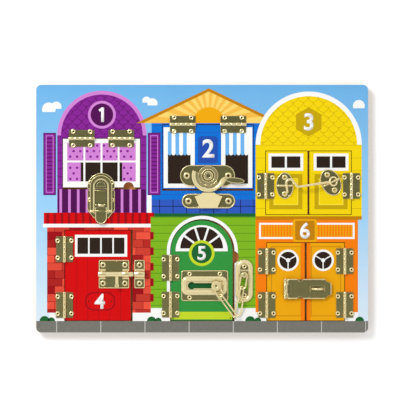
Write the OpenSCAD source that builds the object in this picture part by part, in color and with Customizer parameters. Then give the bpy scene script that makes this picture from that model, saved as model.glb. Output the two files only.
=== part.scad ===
// Wooden busy board: six hinged doors and flaps, each held by its own brass latch.
// Flat on its back: X to the right, Y up the board, Z out of its face.
// The origin is the centre of the back face. All sizes are in millimetres.

/* [Board] */
// Width of the board
board_w = 394; // [385:1:430]
// Height of the board
board_h = 294; // [290:1:330]
// Radius of the board's corners
corner_r = 6; // [2:0.5:12]
// Thickness of the front board
front_t = 9; // [8:0.5:12]
// Thickness of the back panel
back_t = 3; // [2:0.5:6]

/* [Door gaps] */
// Gap beside a hinge line
hinge_gap = 0.8; // [0.6:0.1:1.2]
// Gap along an edge that swings free
free_gap = 2.4; // [2:0.1:2.6]
// Gap along the edges square to the hinge line
side_gap = 0.8; // [0.6:0.1:1.5]
// Gap between a door and the back panel
under_gap = 0.4; // [0.3:0.1:1]

/* [Flap 1] */
// Middle of flap 1, from the board's middle line
flap_1_x = -119.5; // [-121:0.5:-118]
// Height of its hinge line
flap_1_axis_y = 83.3; // [80:0.1:90]
// Width of flap 1
flap_1_w = 91.3; // [88:0.1:94]
// Height of flap 1
flap_1_h = 57.6; // [55:0.1:60]
// Distance between its two hinges
flap_1_hinges = 46.9; // [42:0.1:50]
// Distance of its finger notch from its middle
notch_1_x = 32.2; // [28:0.1:35]
// Radius of its finger notch
notch_1_r = 6.2; // [5:0.1:8]

/* [Flap 2] */
// Middle of flap 2, from the board's middle line
flap_2_x = 6.9; // [6:0.1:8]
// Height of its hinge line
flap_2_axis_y = 100; // [98:0.5:110]
// Width of flap 2
flap_2_w = 107.3; // [104:0.1:110]
// Height of flap 2
flap_2_h = 75.9; // [74:0.1:78]
// Distance between its two hinges
flap_2_hinges = 60; // [50:1:70]

/* [Doors 3] */
// Middle of the pair
doors_3_x = 126.2; // [125:0.1:127]
// Distance between the two hinge lines
doors_3_axes = 101.7; // [100:0.1:103]
// Height of the pair's top edge
doors_3_top = 68.1; // [66:0.1:72]
// Height of the doors
doors_3_h = 74.8; // [72:0.1:78]
// Distance of the hinges below the top edge
doors_3_hinge_drop = 41.2; // [38:0.1:46]

/* [Door 4] */
// Place of its hinge line
door_4_axis_x = -163.3; // [-165:0.1:-162]
// Height of its top edge
door_4_top = -25.9; // [-27:0.1:-25]
// Width of door 4
door_4_w = 78; // [77:0.5:79]
// Height of door 4
door_4_h = 106.7; // [105:0.1:110]
// Distance of its upper hinge below the top edge
door_4_hinge_high = 22.2; // [20:0.1:26]
// Distance of its lower hinge above the bottom edge
door_4_hinge_low = 18.2; // [16.8:0.1:22]

/* [Door 5] */
// Place of its hinge line
door_5_axis_x = -37.6; // [-39:0.1:-37]
// Height of its bottom edge
door_5_bottom = -132.6; // [-134:0.1:-131]
// Width of door 5, which is the width of its round top
door_5_w = 73.3; // [72:0.1:74]
// Height of its straight side
door_5_side_h = 82; // [80:0.1:84]
// Height of its upper hinge above the bottom edge
door_5_hinge_high = 62.4; // [58:0.1:66]
// Height of its lower hinge above the bottom edge
door_5_hinge_low = 18.8; // [17:0.1:24]
// Height of its finger notch above the bottom edge
notch_5_y = 75; // [74:0.5:80]
// Radius of its finger notch
notch_5_r = 7.6; // [6:0.1:8]

/* [Doors 6] */
// Middle of the pair
doors_6_x = 122.9; // [122:0.1:124]
// Distance between the two hinge lines
doors_6_axes = 92.5; // [92:0.1:94]
// Height of the pair's top edge
doors_6_top = -40.7; // [-42:0.1:-39]
// Height of the doors
doors_6_h = 92; // [90:0.1:94]
// Distance of the upper hinges below the top edge
doors_6_hinge_high = 21.6; // [20:0.1:24]
// Distance of the lower hinges above the bottom edge
doors_6_hinge_low = 18.5; // [16:0.1:22]

/* [Sheet metal and hinges] */
// Thickness of every stamped plate
plate_t = 0.9; // [0.6:0.1:1]
// Length of a hinge
hinge_len = 30.4; // [29:0.1:32]
// Width of a hinge leaf, from the pin's axis
leaf_w = 11.1; // [10.8:0.1:11.5]
// Radius of a hinge knuckle
knuckle_r = 2; // [1.9:0.1:2.2]
// Number of knuckles in a hinge
knuckles = 5; // [3:2:7]
// Gap between neighbouring knuckles
knuckle_gap = 0.3; // [0.2:0.1:0.6]
// Radius of a hinge pin
pin_r = 0.9; // [0.7:0.05:1]
// Radial clearance of a pin or pivot in its hole
pin_fit = 0.05; // [0.02:0.01:0.08]
// Clearance between a turning knuckle and the face under it
turn_gap = 0.3; // [0.3:0.05:0.5]
// Gap between a leaf and the other leaf's knuckles
leaf_gap = 0.4; // [0.3:0.1:0.6]
// Distance between a leaf's two rivets
rivets_along = 20.2; // [19:0.1:21]
// Distance between the two leaves' rivets
rivets_across = 16.2; // [16:0.1:17]

/* [Rivets] */
// Radius of a rivet's rolled flange
rivet_r = 2.7; // [2.4:0.1:2.8]
// Height of the flange above the plate
rivet_rise = 1; // [0.7:0.1:1]
// Radius of the hole through a rivet
rivet_bore_r = 1.1; // [0.8:0.1:1.2]
// Radius of a rivet's shank
rivet_shank_r = 1.5; // [1.4:0.1:1.6]
// Depth of a rivet below the face
rivet_depth = 4; // [2:0.5:6]
// Radius of the flange of the sash lock's rivets
sash_rivet_r = 3.9; // [3.4:0.1:4]
// Radius of the flange of the hook's and the bolt's rivets
latch_rivet_r = 3.3; // [2.8:0.1:3.4]

/* [Draw latch on flap 1] */
// Width of the catch plate and the base plate
draw_plate_w = 32.4; // [31:0.1:34]
// Length of the base plate
draw_base_h = 33.5; // [32.5:0.1:35]
// Outer radius of the loop's arch
loop_r = 13.2; // [12.6:0.1:13.4]
// Width of the loop's flat band
loop_band = 5.7; // [5.5:0.05:5.9]
// Thickness of the loop
loop_t = 1.2; // [1:0.1:1.4]
// Distance of the lever's pivot below the flap's edge
lever_drop = 21.2; // [20.5:0.1:22]
// Distance of the loop's pivot below the lever's pivot
loop_throw = 7.1; // [6.9:0.1:7.3]
// Length of the lever, from its pivot
lever_len = 22.1; // [20:0.1:26]
// Thickness of the lever
lever_t = 1.3; // [1:0.1:1.5]
// Clearance between the lever and the loop's sides
lever_side_gap = 0.6; // [0.4:0.1:0.8]
// Radius of the catch that the loop draws on
catch_r = 5.8; // [5:0.1:6]
// Height of the catch above its plate
catch_rise = 3.6; // [3.4:0.1:3.8]
// Reach of the catch plate past the flap's edge
catch_reach = 2.2; // [1:0.1:2.3]
// Distance of the base plate's rivets below its top
base_rivet_drop = 11.9; // [10:0.1:13]

/* [Sash lock on flap 2] */
// Length of its plate
sash_w = 65.1; // [64:0.1:68]
// Height of its plate, which is the width of its round ends
sash_h = 25.1; // [24:0.1:26]
// Distance between the plate's rivets
sash_rivets = 49.2; // [49:0.1:51]
// Distance of the plate's middle above the flap's edge
sash_rise = 15.4; // [15:0.1:16]
// Radius of the cam's pivot
sash_pivot_r = 2.5; // [2:0.1:3]
// Outer radius of the cam's crescent
cam_r = 19.5; // [19:0.1:19.8]
// Inner radius of the crescent
cam_inner_r = 15.2; // [14.5:0.1:16]
// Radius of the cam's disc
cam_disc_r = 11.8; // [11.5:0.1:12.5]
// Thickness of the cam's disc
cam_t = 1.2; // [1:0.1:1.4]
// Height of the crescent above the disc
crescent_rise = 2.8; // [2:0.1:3]
// Length of the thumb lever's pad
thumb_w = 22.4; // [21:0.1:23]
// Width of the thumb lever's pad
thumb_h = 6.9; // [6:0.1:7.4]
// Length of the keeper plate
keeper_w = 63.1; // [60:0.1:66]
// Height of the keeper plate
keeper_h = 17.1; // [16:0.1:17.5]
// Distance between the keeper's rivets
keeper_rivets = 47.5; // [46:0.1:48]
// Clearance between the crescent and the keeper's hood
hood_gap = 0.6; // [0.5:0.1:1]
// Height of the hood above its plate
hood_rise = 4.6; // [4:0.1:5]
// Reach of the hood's mouth past the plate's edge
hood_reach = 1.4; // [1:0.1:1.6]
// Width of the hood's mouth, under the lock
hood_mouth = 13.8; // [13:0.1:14.4]
// Width of the hood across its wings
hood_wings = 32.8; // [32:0.1:33.4]
// Width of the hood's foot, at the plate's lower edge
hood_foot = 20.8; // [20:0.1:21.4]

/* [Hook on doors 3] */
// Width of the left oval plate
rest_plate_w = 20.8; // [20:0.1:21.4]
// Length of the left oval plate
rest_plate_h = 31.3; // [30:0.1:34]
// Width of the right oval plate
eye_plate_w = 23.4; // [22.6:0.1:23.8]
// Length of the right oval plate
eye_plate_h = 32.6; // [31:0.1:33]
// Distance between an oval plate's rivets
hook_rivets = 20; // [19:0.1:21]
// Distance of the left plate from the left hinge line
rest_plate_x = 22.7; // [22.5:0.1:23.2]
// Distance of the right plate from the right hinge line
eye_plate_x = 24.3; // [24.2:0.1:25]
// Tilt of the right plate
eye_plate_tilt = 25.8; // [22:0.1:28]
// Distance between the left staple's legs
rest_staple_w = 17.8; // [17.6:0.1:18.2]
// Distance between the right staple's legs
eye_staple_w = 19.4; // [19.2:0.1:20]
// Radius of the staples' wire
staple_r = 1.1; // [1:0.05:1.15]
// Height of the right staple's bar above its plate
eye_staple_rise = 6.2; // [6.1:0.1:6.6]
// Height of the left staple's bar above its plate
rest_staple_rise = 5.3; // [4.8:0.1:5.4]
// Radius of the hook's ring, at the middle of its wire
ring_r = 5; // [4.9:0.1:5.1]
// Radius of the ring's wire
ring_wire_r = 1.05; // [0.9:0.05:1.1]
// Radius of the hook's rod
hook_rod_r = 1.4; // [1.2:0.05:1.45]
// Tilt of the ring round the staple's bar
ring_tilt = 30; // [29:1:32]
// Distance of the hook's knee from the left plate's middle
hook_knee_x = 15; // [14.6:0.1:15.2]
// Distance of the knee below the left plate's middle
hook_knee_drop = 1.6; // [1.4:0.1:1.8]
// Rise of the hook's neck from its knee
neck_len = 8; // [7.6:0.1:8.2]
// Radius of the neck's bend
neck_r = 4.4; // [4.2:0.1:4.6]
// Length of the hook's tip
hook_tip_len = 8; // [7:0.1:8.2]

/* [Bolt on door 4] */
// Width of the bolt's plate
bolt_plate_w = 35.9; // [35:0.1:37]
// Height of the bolt's plate
bolt_plate_h = 33.4; // [32:0.1:35]
// Distance of the plate from the door's free edge
bolt_plate_inset = 1.8; // [1.5:0.1:3]
// Height of the bolt below the door's top edge
bolt_drop = 51.8; // [50:0.1:54]
// Radius of the bolt's rod
bolt_r = 3; // [2.8:0.1:3.2]
// Thickness of the straps over the rod
strap_t = 1.1; // [0.9:0.1:1.3]
// Width of the strap at the plate's far end
far_strap_w = 8; // [7:0.1:9]
// Width of the strap at the door's edge
near_strap_w = 7.8; // [7:0.1:7.8]
// Distance between the plate's rivets along the rod
bolt_rivets_x = 26; // [25.5:0.1:26.5]
// Distance between the plate's rivets across the rod
bolt_rivets_y = 21.8; // [21:0.1:23]
// Reach of the rod past the plate's edge
bolt_reach = 5.7; // [5.5:0.1:5.8]
// Distance of the handle from the plate's edge
handle_x = 14.3; // [14:0.1:15]
// Radius of the handle's stem
handle_r = 2; // [1.6:0.1:2]
// Reach of the handle from the rod's axis
handle_len = 13.6; // [13:0.1:16]
// Width of the keeper plate
bolt_keeper_w = 12.3; // [11.5:0.1:13]
// Distance between the rod's tip and the keeper
bolt_keeper_gap = 0.5; // [0.4:0.1:0.8]

/* [Chain on door 5] */
// Width of the slide plate
track_w = 55.7; // [55:0.1:57]
// Height of the slide plate
track_h = 36.3; // [35:0.1:38]
// Distance between the slide plate's rivets along the slot
track_rivets_x = 36; // [34:0.1:38]
// Distance between the slide plate's rivets across the slot
track_rivets_y = 28; // [27.6:0.1:29]
// Distance of the plate from the door's free edge
track_inset = 5.2; // [5:0.1:6]
// Height of the slot's middle above the door's bottom edge
slot_rise = 41.2; // [40:0.1:43]
// Length of the raised frame
frame_w = 54; // [53.5:0.1:54.5]
// Height of the raised frame
frame_h = 22; // [21:0.1:22.4]
// Width of the frame's rim
frame_rim = 5.9; // [5.5:0.1:6.2]
// Rise of the frame above the plate
frame_rise = 2.4; // [2.3:0.1:2.5]
// Length of the slot, from the middle of the keyhole
slot_len = 31; // [30.5:0.1:32]
// Half the width of the slot
slot_r = 3.1; // [3:0.1:3.3]
// Radius of the keyhole
keyhole_r = 4.4; // [4.2:0.1:4.6]
// Travel of the slider from the slot's end to the keyhole
slider_travel = 29; // [28:0.5:29]
// Radius of the slider's knob
slider_knob_r = 5.8; // [5:0.1:6]
// Radius of the slider's neck
slider_neck_r = 1.6; // [1.4:0.1:1.8]
// Radius of the chain's wire
wire_r = 0.95; // [0.85:0.05:1]
// Half the width of a link, at the middle of its wire
link_r = 3.6; // [3.5:0.1:3.8]
// Tilt of every second link
link_tilt = 54; // [52:1:58]
// Play between linked wires
link_play = 1.3; // [1.2:0.1:1.6]
// Length of the short link, at the middle of its wire
short_link = 17; // [16:0.5:18]
// Width of the anchor plate
anchor_w = 20.8; // [20:0.1:21]
// Height of the anchor plate
anchor_h = 50.8; // [49:0.1:52]
// Distance of the anchor plate's middle from the door's edge
anchor_x = 13.9; // [13.5:0.1:14.2]
// Height of the anchor plate's middle above the door's bottom edge
anchor_y = 47; // [46:0.1:48]
// Width of the anchor plate's raised rim
anchor_rim = 5.6; // [5:0.1:5.8]
// Distance between the anchor plate's rivets
anchor_rivets = 34; // [32:0.1:35]
// Height of the chain's post above the anchor plate's middle
post_y = 6.8; // [6:0.1:8]

/* [Hasp on doors 6] */
// Length of the strap, from its pin
hasp_len = 54.7; // [54:0.1:56]
// Width of the strap
hasp_w = 23.4; // [22:0.1:24]
// Thickness of the strap
hasp_t = 1.1; // [0.9:0.1:1.3]
// Distance of the strap's pin from the pair's middle
hasp_pin_x = 24.4; // [24:0.1:25]
// Distance of the hasp below the doors' top edge
hasp_drop = 54.4; // [53.5:0.1:55]
// Height of the strap's pin above the hinge pins
hasp_lift = 0.6; // [0.6:0.1:1]
// Distance of the staple from the pair's middle
hasp_staple_x = 13.7; // [13:0.1:14.5]
// Width of the staple, at the middle of its wire
hasp_staple_w = 12.8; // [12:0.1:13]
// Radius of the staple's wire
hasp_wire_r = 1.3; // [1.1:0.1:1.4]
// Height of the staple's top above its plate
hasp_staple_rise = 10.8; // [10.6:0.1:11.4]
// Length of the slot in the strap
hasp_slot_w = 18.4; // [18:0.1:19]
// Width of the slot in the strap
hasp_slot_h = 7.4; // [7:0.1:8]

/* [Hidden] */
$fn = 64;
eps = 0.01;

// Colours
wood = "burlywood";
brass = "darkkhaki";
bright = "khaki";

// Levels: the board's face, the top of a plate on it, and a hinge pin's axis
face_z = back_t + front_t;
plate_z = face_z + plate_t;
axis_z = face_z + turn_gap + knuckle_r;
plate_axis_z = plate_z + turn_gap + knuckle_r;
door_z = back_t + under_gap;
door_t = front_t - under_gap;
pin_hole_r = pin_r + pin_fit;
rivet_hole_r = rivet_shank_r + pin_fit;

// Flap and door edges
edge = hinge_gap / 2;
flap_1_bottom = flap_1_axis_y - edge - flap_1_h;
flap_2_bottom = flap_2_axis_y - edge - flap_2_h;
doors_3_left_x = doors_3_x - doors_3_axes / 2;
doors_3_right_x = doors_3_x + doors_3_axes / 2;
doors_3_leaf_w = (doors_3_axes - hinge_gap - free_gap) / 2;
door_4_edge_x = door_4_axis_x + edge + door_4_w;
door_5_edge_x = door_5_axis_x + edge + door_5_w;
door_5_arch_y = door_5_bottom + door_5_side_h;
doors_6_left_x = doors_6_x - doors_6_axes / 2;
doors_6_right_x = doors_6_x + doors_6_axes / 2;
doors_6_leaf_w = (doors_6_axes - hinge_gap - free_gap) / 2;

// Hinges as [x, y, turn]: the turn brings the leaf that is drawn towards +Y to its door's side
to_below = 180;
to_right = -90;
to_left = 90;
hinges_1 = [for (s = [-1, 1]) [flap_1_x + s * flap_1_hinges / 2, flap_1_axis_y, to_below]];
hinges_2 = [for (s = [-1, 1]) [flap_2_x + s * flap_2_hinges / 2, flap_2_axis_y, to_below]];
hinge_3_y = doors_3_top - doors_3_hinge_drop;
hinges_3_left = [[doors_3_left_x, hinge_3_y, to_right]];
hinges_3_right = [[doors_3_right_x, hinge_3_y, to_left]];
hinges_4 = [for (d = [door_4_hinge_high, door_4_h - door_4_hinge_low])
  [door_4_axis_x, door_4_top - d, to_right]];
hinges_5 = [for (d = [door_5_hinge_high, door_5_hinge_low]) [door_5_axis_x, door_5_bottom + d, to_right]];
drops_6 = [doors_6_hinge_high, doors_6_h - doors_6_hinge_low];
hinges_6_left = [for (d = drops_6) [doors_6_left_x, doors_6_top - d, to_right]];
hinges_6_right = [for (d = drops_6) [doors_6_right_x, doors_6_top - d, to_left]];
all_hinges = concat(hinges_1, hinges_2, hinges_3_left, hinges_3_right, hinges_4, hinges_5,
                    hinges_6_left, hinges_6_right);

// Draw latch
draw_x = flap_1_x - 0.4;
catch_y = flap_1_bottom + 0.7;
lever_y = flap_1_bottom - lever_drop;
loop_pivot_y = lever_y - loop_throw;
draw_base_top = flap_1_bottom - free_gap - 0.5;
loop_inner_r = loop_r - loop_band;
lever_w = 2 * (loop_inner_r - lever_side_gap);
loop_eye_r = 1.7;
loop_pin_r = 0.8;
draw_base_rivets = [for (s = [-1, 1])
  [draw_x + s * (draw_plate_w / 2 - 3.4), draw_base_top - base_rivet_drop]];
catch_rivets = [for (s = [-1, 1]) [draw_x + s * (draw_plate_w / 2 - 3.6), catch_y + 5.2]];

// Sash lock
sash_x = flap_2_x - 0.5;
sash_y = flap_2_bottom + sash_rise;
cam_x = flap_2_x + 0.3;
cam_z = plate_z + turn_gap;
crescent_z = cam_z + cam_t;
keeper_x = flap_2_x + 0.6;
keeper_top = sash_y - cam_r - hood_gap;
keeper_y = keeper_top - hood_reach - keeper_h / 2;
sash_rivet_points = [for (s = [-1, 1]) [sash_x + s * sash_rivets / 2, sash_y, sash_rivet_r]];
keeper_rivet_points = [for (s = [-1, 1]) [keeper_x + s * keeper_rivets / 2, keeper_y, sash_rivet_r]];

// Hook
rest_x = doors_3_left_x + rest_plate_x;
rest_y = hinge_3_y + 0.4;
eye_x = doors_3_right_x - eye_plate_x;
eye_y = hinge_3_y + 4.2;
rest_rivets = [for (s = [-1, 1]) [rest_x, rest_y + s * (hook_rivets / 2 - 0.2), latch_rivet_r]];
eye_rivets = [for (s = [-1, 1]) [eye_x - s * hook_rivets / 2 * sin(eye_plate_tilt),
                                 eye_y + s * hook_rivets / 2 * cos(eye_plate_tilt), latch_rivet_r]];
// The ring hangs on the staple's bar, just inside its right leg
ring_inset = ring_r * cos(ring_tilt) + ring_wire_r + staple_r + 0.35;
ring_along = eye_staple_w / 2 - ring_inset;
ring_x = eye_x + ring_along * cos(eye_plate_tilt);
ring_y = eye_y + ring_along * sin(eye_plate_tilt);
ring_z = plate_z + eye_staple_rise;
rod_z = ring_z + ring_r * sin(ring_tilt);
hook_knee = [rest_x + hook_knee_x, rest_y - hook_knee_drop];
hook_turn = atan2(ring_y - hook_knee.y, ring_x - hook_knee.x);

// Bolt
bolt_y = door_4_top - bolt_drop;
bolt_z = plate_z + turn_gap + bolt_r;
bolt_plate_right = door_4_edge_x - bolt_plate_inset;
bolt_plate_left = bolt_plate_right - bolt_plate_w;
strap_r = bolt_r + 0.1;
strap_out_r = strap_r + strap_t;
handle_at_x = bolt_plate_right - handle_x;
bolt_tip_x = bolt_plate_right + bolt_reach;
bolt_keeper_x = bolt_tip_x + bolt_keeper_gap;
bolt_rivets = [for (sx = [-1, 1], sy = [-1, 1])
  [bolt_plate_right - bolt_plate_w / 2 + sx * bolt_rivets_x / 2, bolt_y + sy * bolt_rivets_y / 2,
   latch_rivet_r]];
bolt_keeper_rivets = [for (sy = [-1, 1])
  [bolt_keeper_x + bolt_keeper_w / 2, bolt_y + sy * bolt_rivets_y / 2, latch_rivet_r]];

// Chain
track_right = door_5_edge_x - track_inset;
track_x = track_right - track_w / 2;
slot_y = door_5_bottom + slot_rise;
frame_x = track_right - 1.2 - frame_w / 2;
frame_z = plate_z + frame_rise;
keyhole_x = frame_x - frame_w / 2 + frame_rim + keyhole_r + 1.5;
slider_x = keyhole_x + slider_travel;
slide_floor_z = frame_z - 0.4 - plate_t;
// The chain hangs level, its tilted links clear of the rivets under them
chain_z = plate_z + rivet_rise + turn_gap + wire_r + link_r * sin(link_tilt);
knob_z = chain_z + wire_r + turn_gap;
link_pitch = 2 * wire_r + link_play;
neck_reach = slider_neck_r + wire_r + turn_gap;
anchor_mid_x = door_5_edge_x + anchor_x;
anchor_mid_y = door_5_bottom + anchor_y;
post_at_y = anchor_mid_y + post_y;
track_rivets = [for (sx = [-1, 1], sy = [-1, 1])
  [track_x + (sx * track_rivets_x) / 2, slot_y + (sy * track_rivets_y) / 2]];
anchor_rivet_points = [for (s = [-1, 1]) [anchor_mid_x, anchor_mid_y + s * anchor_rivets / 2]];

// Hasp
hasp_y = doors_6_top - hasp_drop;
hasp_axis_x = doors_6_x - hasp_pin_x;
hasp_axis_z = axis_z + hasp_lift;
hasp_under_z = hasp_axis_z + 0.2;
staple_mid_x = doors_6_x + hasp_staple_x;
hasp_rivet_y = 7.5;
hasp_leaf_rivets = [for (dx = [6, 15], sy = [-1, 1]) [hasp_axis_x + dx, hasp_y + sy * hasp_rivet_y]];
hasp_staple_rivets = [for (s = [-1, 1]) [staple_mid_x, hasp_y + s * hasp_rivet_y]];

// Every rivet's place, body by body. A plate's rivets stand on its top face.
function leaf_points(side) = [for (s = [-1, 1]) [s * rivets_along / 2, side * rivets_across / 2]];
function placed(h, p) = [h.x + p.x * cos(h.z) - p.y * sin(h.z),
                         h.y + p.x * sin(h.z) + p.y * cos(h.z)];
function leaf_rivets(hinges, side) = [for (h = hinges) for (p = leaf_points(side)) placed(h, p)];

board_points = concat(leaf_rivets(all_hinges, -1), draw_base_rivets, keeper_rivet_points,
                      bolt_keeper_rivets, anchor_rivet_points);
flap_1_points = concat(leaf_rivets(hinges_1, 1), catch_rivets);
flap_2_points = concat(leaf_rivets(hinges_2, 1), sash_rivet_points);
door_3_left_points = concat(leaf_rivets(hinges_3_left, 1), rest_rivets);
door_3_right_points = concat(leaf_rivets(hinges_3_right, 1), eye_rivets);
door_4_points = concat(leaf_rivets(hinges_4, 1), bolt_rivets);
door_5_points = concat(leaf_rivets(hinges_5, 1), track_rivets);
door_6_left_points = concat(leaf_rivets(hinges_6_left, 1), hasp_leaf_rivets);
door_6_right_points = concat(leaf_rivets(hinges_6_right, 1), hasp_staple_rivets);

// ---- Shapes that repeat ----

function unit(v) = v / norm(v);

// Rectangle with round corners, centred
module rounded_rect(w, h, r) {
  square([w - 2 * r, h], center = true);
  square([w, h - 2 * r], center = true);
  for (sx = [-1, 1], sy = [-1, 1])
    translate([sx * (w / 2 - r), sy * (h / 2 - r)]) circle(r);
}

// Oval of two radii, centred
module oval(w, h) {
  steps = 48;
  polygon([for (i = [0 : steps - 1]) [w / 2 * cos(i * 360 / steps), h / 2 * sin(i * 360 / steps)]]);
}

// A flat plate of the shared sheet, lying on the face
module sheet(t = plate_t) {
  translate([0, 0, face_z]) linear_extrude(t) children();
}

// A rivet's place is [x, y], or [x, y, flange radius] where the flange isn't the usual one.
// A wider rivet is wider all through.
function flange_r(p) = len(p) > 2 ? p[2] : rivet_r;
function widening(p) = flange_r(p) / rivet_r;

// Tubular rivets: a rolled flange on the plate and a shank down into the wood
module rivets(points) {
  color(bright)
    for (p = points) {
      r = flange_r(p);
      bore_r = rivet_bore_r * widening(p);
      shank_r = rivet_shank_r * widening(p);
      translate([p.x, p.y, face_z])
        rotate_extrude()
          polygon([[bore_r, -rivet_depth], [shank_r, -rivet_depth], [shank_r, plate_t], [r, plate_t],
                   [r, plate_t + 0.4 * rivet_rise], [r - 0.35, plate_t + 0.85 * rivet_rise],
                   [r - 0.8, plate_t + rivet_rise], [bore_r + 0.35, plate_t + 0.85 * rivet_rise],
                   [bore_r, plate_t + 0.5 * rivet_rise]]);
    }
}

// The holes that rivets need, from their tips to above the plate
module rivet_holes(points) {
  for (p = points)
    translate([p.x, p.y, face_z - rivet_depth - 0.2])
      cylinder(r = rivet_shank_r * widening(p) + pin_fit, h = rivet_depth + 0.2 + plate_t + 1);
}

module at_hinge(h) {
  translate([h.x, h.y, face_z]) rotate([0, 0, h.z]) children();
}

// One hinge leaf towards +Y: a scalloped plate with every second knuckle rolled from it
module hinge_leaf(first) {
  pitch = hinge_len / knuckles;
  plate_y = knuckle_r + leaf_gap;
  lobe_r = leaf_w - rivets_across / 2;
  straight_y = leaf_w - 1.1;
  difference() {
    union() {
      linear_extrude(plate_t) {
        translate([-hinge_len / 2, plate_y]) square([hinge_len, straight_y - plate_y]);
        for (s = [-1, 1])
          translate([s * rivets_along / 2, rivets_across / 2]) circle(lobe_r);
      }
      for (i = [first : 2 : knuckles - 1])
        translate([-hinge_len / 2 + i * pitch + knuckle_gap / 2, 0, 0]) {
          cube([pitch - knuckle_gap, plate_y + 0.5, plate_t]);
          translate([0, 0, axis_z - face_z])
            rotate([0, 90, 0]) cylinder(r = knuckle_r, h = pitch - knuckle_gap);
        }
    }
    translate([-hinge_len, 0, axis_z - face_z])
      rotate([0, 90, 0]) cylinder(r = pin_hole_r, h = 2 * hinge_len);
    for (p = leaf_points(1))
      translate([p.x, p.y, -1]) cylinder(r = rivet_hole_r, h = plate_t + 2);
  }
}

module door_leaves(hinges) {
  color(brass) for (h = hinges) at_hinge(h) hinge_leaf(1);
}

// A door or flap blank of the wood's thickness
module blank(points) {
  difference() {
    translate([0, 0, door_z]) linear_extrude(door_t) children();
    rivet_holes(points);
  }
}

// Stadium link of round wire between the two wire ends a and b
module chain_link(a, b, roll) {
  d = b - a;
  length = norm(d);
  lift = atan2(d.z, norm([d.x, d.y]));
  straight = length - 2 * link_r;
  translate(a)
    rotate([roll, -lift, atan2(d.y, d.x)]) {
      for (s = [-1, 1])
        translate([link_r, s * link_r, 0]) rotate([0, 90, 0]) cylinder(r = wire_r, h = straight, $fn = 24);
      translate([link_r, 0, 0]) rotate([0, 0, 90])
        rotate_extrude(angle = 180) translate([link_r, 0]) circle(wire_r, $fn = 24);
      translate([link_r + straight, 0, 0]) rotate([0, 0, -90])
        rotate_extrude(angle = 180) translate([link_r, 0]) circle(wire_r, $fn = 24);
    }
}

// Staple of round wire: two legs from the plate's underside and a bar across, rise above the plate
module wire_staple(w, rise, r, bend) {
  foot = plate_t;
  for (s = [-1, 1]) {
    translate([s * w / 2, 0, -foot]) cylinder(r = r, h = foot + rise - bend, $fn = 32);
    translate([s * (w / 2 - bend), 0, rise - bend]) rotate([90, 0, 0]) rotate([0, 0, s > 0 ? 0 : 90])
      rotate_extrude(angle = 90) translate([bend, 0]) circle(r, $fn = 32);
  }
  translate([-w / 2 + bend, 0, rise]) rotate([0, 90, 0]) cylinder(r = r, h = w - 2 * bend, $fn = 32);
}

// Round rod bent step by step in one plane: each step is [length, 0] or [bend radius, angle],
// with a positive angle to the left. A bend is a hair thicker than the straights that run
// into it. Children stand at the rod's end.
module bent_rod(steps, r, i = 0) {
  swell = 0.03;
  run_in = 0.25;
  if (i < len(steps)) {
    size = steps[i][0];
    angle = steps[i][1];
    side = sign(angle);
    if (angle == 0) {
      translate([-run_in, 0, 0]) rotate([0, 90, 0]) cylinder(r = r, h = size + 2 * run_in, $fn = 32);
      translate([size, 0, 0]) bent_rod(steps, r, i + 1) children();
    } else {
      translate([0, side * size, 0]) {
        rotate([0, 0, side > 0 ? -90 : 90 + angle])
          rotate_extrude(angle = abs(angle)) translate([size, 0]) circle(r + swell, $fn = 32);
        rotate([0, 0, angle]) translate([0, -side * size, 0]) bent_rod(steps, r, i + 1) children();
      }
    }
  } else {
    children();
  }
}

// ---- The board ----

module doorways() {
  translate([flap_1_x, flap_1_bottom - free_gap])
    square_up(flap_1_w + 2 * side_gap, flap_1_axis_y + edge - flap_1_bottom + free_gap);
  translate([flap_2_x, flap_2_bottom - free_gap])
    square_up(flap_2_w + 2 * side_gap, flap_2_axis_y + edge - flap_2_bottom + free_gap);
  translate([doors_3_x, doors_3_top - doors_3_h - side_gap])
    square_up(doors_3_axes + hinge_gap, doors_3_h + 2 * side_gap);
  translate([door_4_axis_x - edge, door_4_top - door_4_h - side_gap])
    square([door_4_w + hinge_gap + free_gap, door_4_h + 2 * side_gap]);
  translate([door_5_axis_x - edge, door_5_bottom - side_gap]) doorway_5();
  translate([doors_6_x, doors_6_top - doors_6_h - side_gap])
    square_up(doors_6_axes + hinge_gap, doors_6_h + 2 * side_gap);
}

// Rectangle that stands on the origin's height, centred across
module square_up(w, h) {
  translate([-w / 2, 0]) square([w, h]);
}

module doorway_5() {
  w = door_5_w + hinge_gap + free_gap;
  square([w, door_5_side_h + side_gap]);
  translate([w / 2, door_5_side_h + side_gap]) circle(w / 2);
  translate([w - free_gap, notch_5_y + side_gap]) circle(notch_5_r);
}

module front_board() {
  color(wood)
    difference() {
      translate([0, 0, back_t])
        linear_extrude(front_t)
          difference() {
            rounded_rect(board_w, board_h, corner_r);
            doorways();
          }
      rivet_holes(board_points);
    }
}

module back_panel() {
  color("peru") linear_extrude(back_t) rounded_rect(board_w, board_h, corner_r);
}

module board_hinge_leaves() {
  color(brass) for (h = all_hinges) at_hinge(h) mirror([0, 1, 0]) hinge_leaf(0);
}

module hinge_pins() {
  head_r = 1.4;
  head_t = 0.5;
  color(bright)
    for (h = all_hinges)
      at_hinge(h)
        translate([0, 0, axis_z - face_z]) rotate([0, 90, 0]) {
          cylinder(r = pin_r, h = hinge_len, center = true);
          for (s = [-1, 1])
            translate([0, 0, s * (hinge_len + head_t) / 2])
              cylinder(r = head_r, h = head_t, center = true);
        }
}

module board_rivets() { rivets(board_points); }

// ---- Flaps and doors ----

module flap_1() {
  color("mediumpurple")
    blank(flap_1_points)
      difference() {
        translate([flap_1_x, flap_1_bottom]) square_up(flap_1_w, flap_1_h);
        translate([flap_1_x + notch_1_x, flap_1_bottom]) circle(notch_1_r);
      }
}

module flap_2() {
  color("royalblue")
    blank(flap_2_points) translate([flap_2_x, flap_2_bottom]) square_up(flap_2_w, flap_2_h);
}

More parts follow.
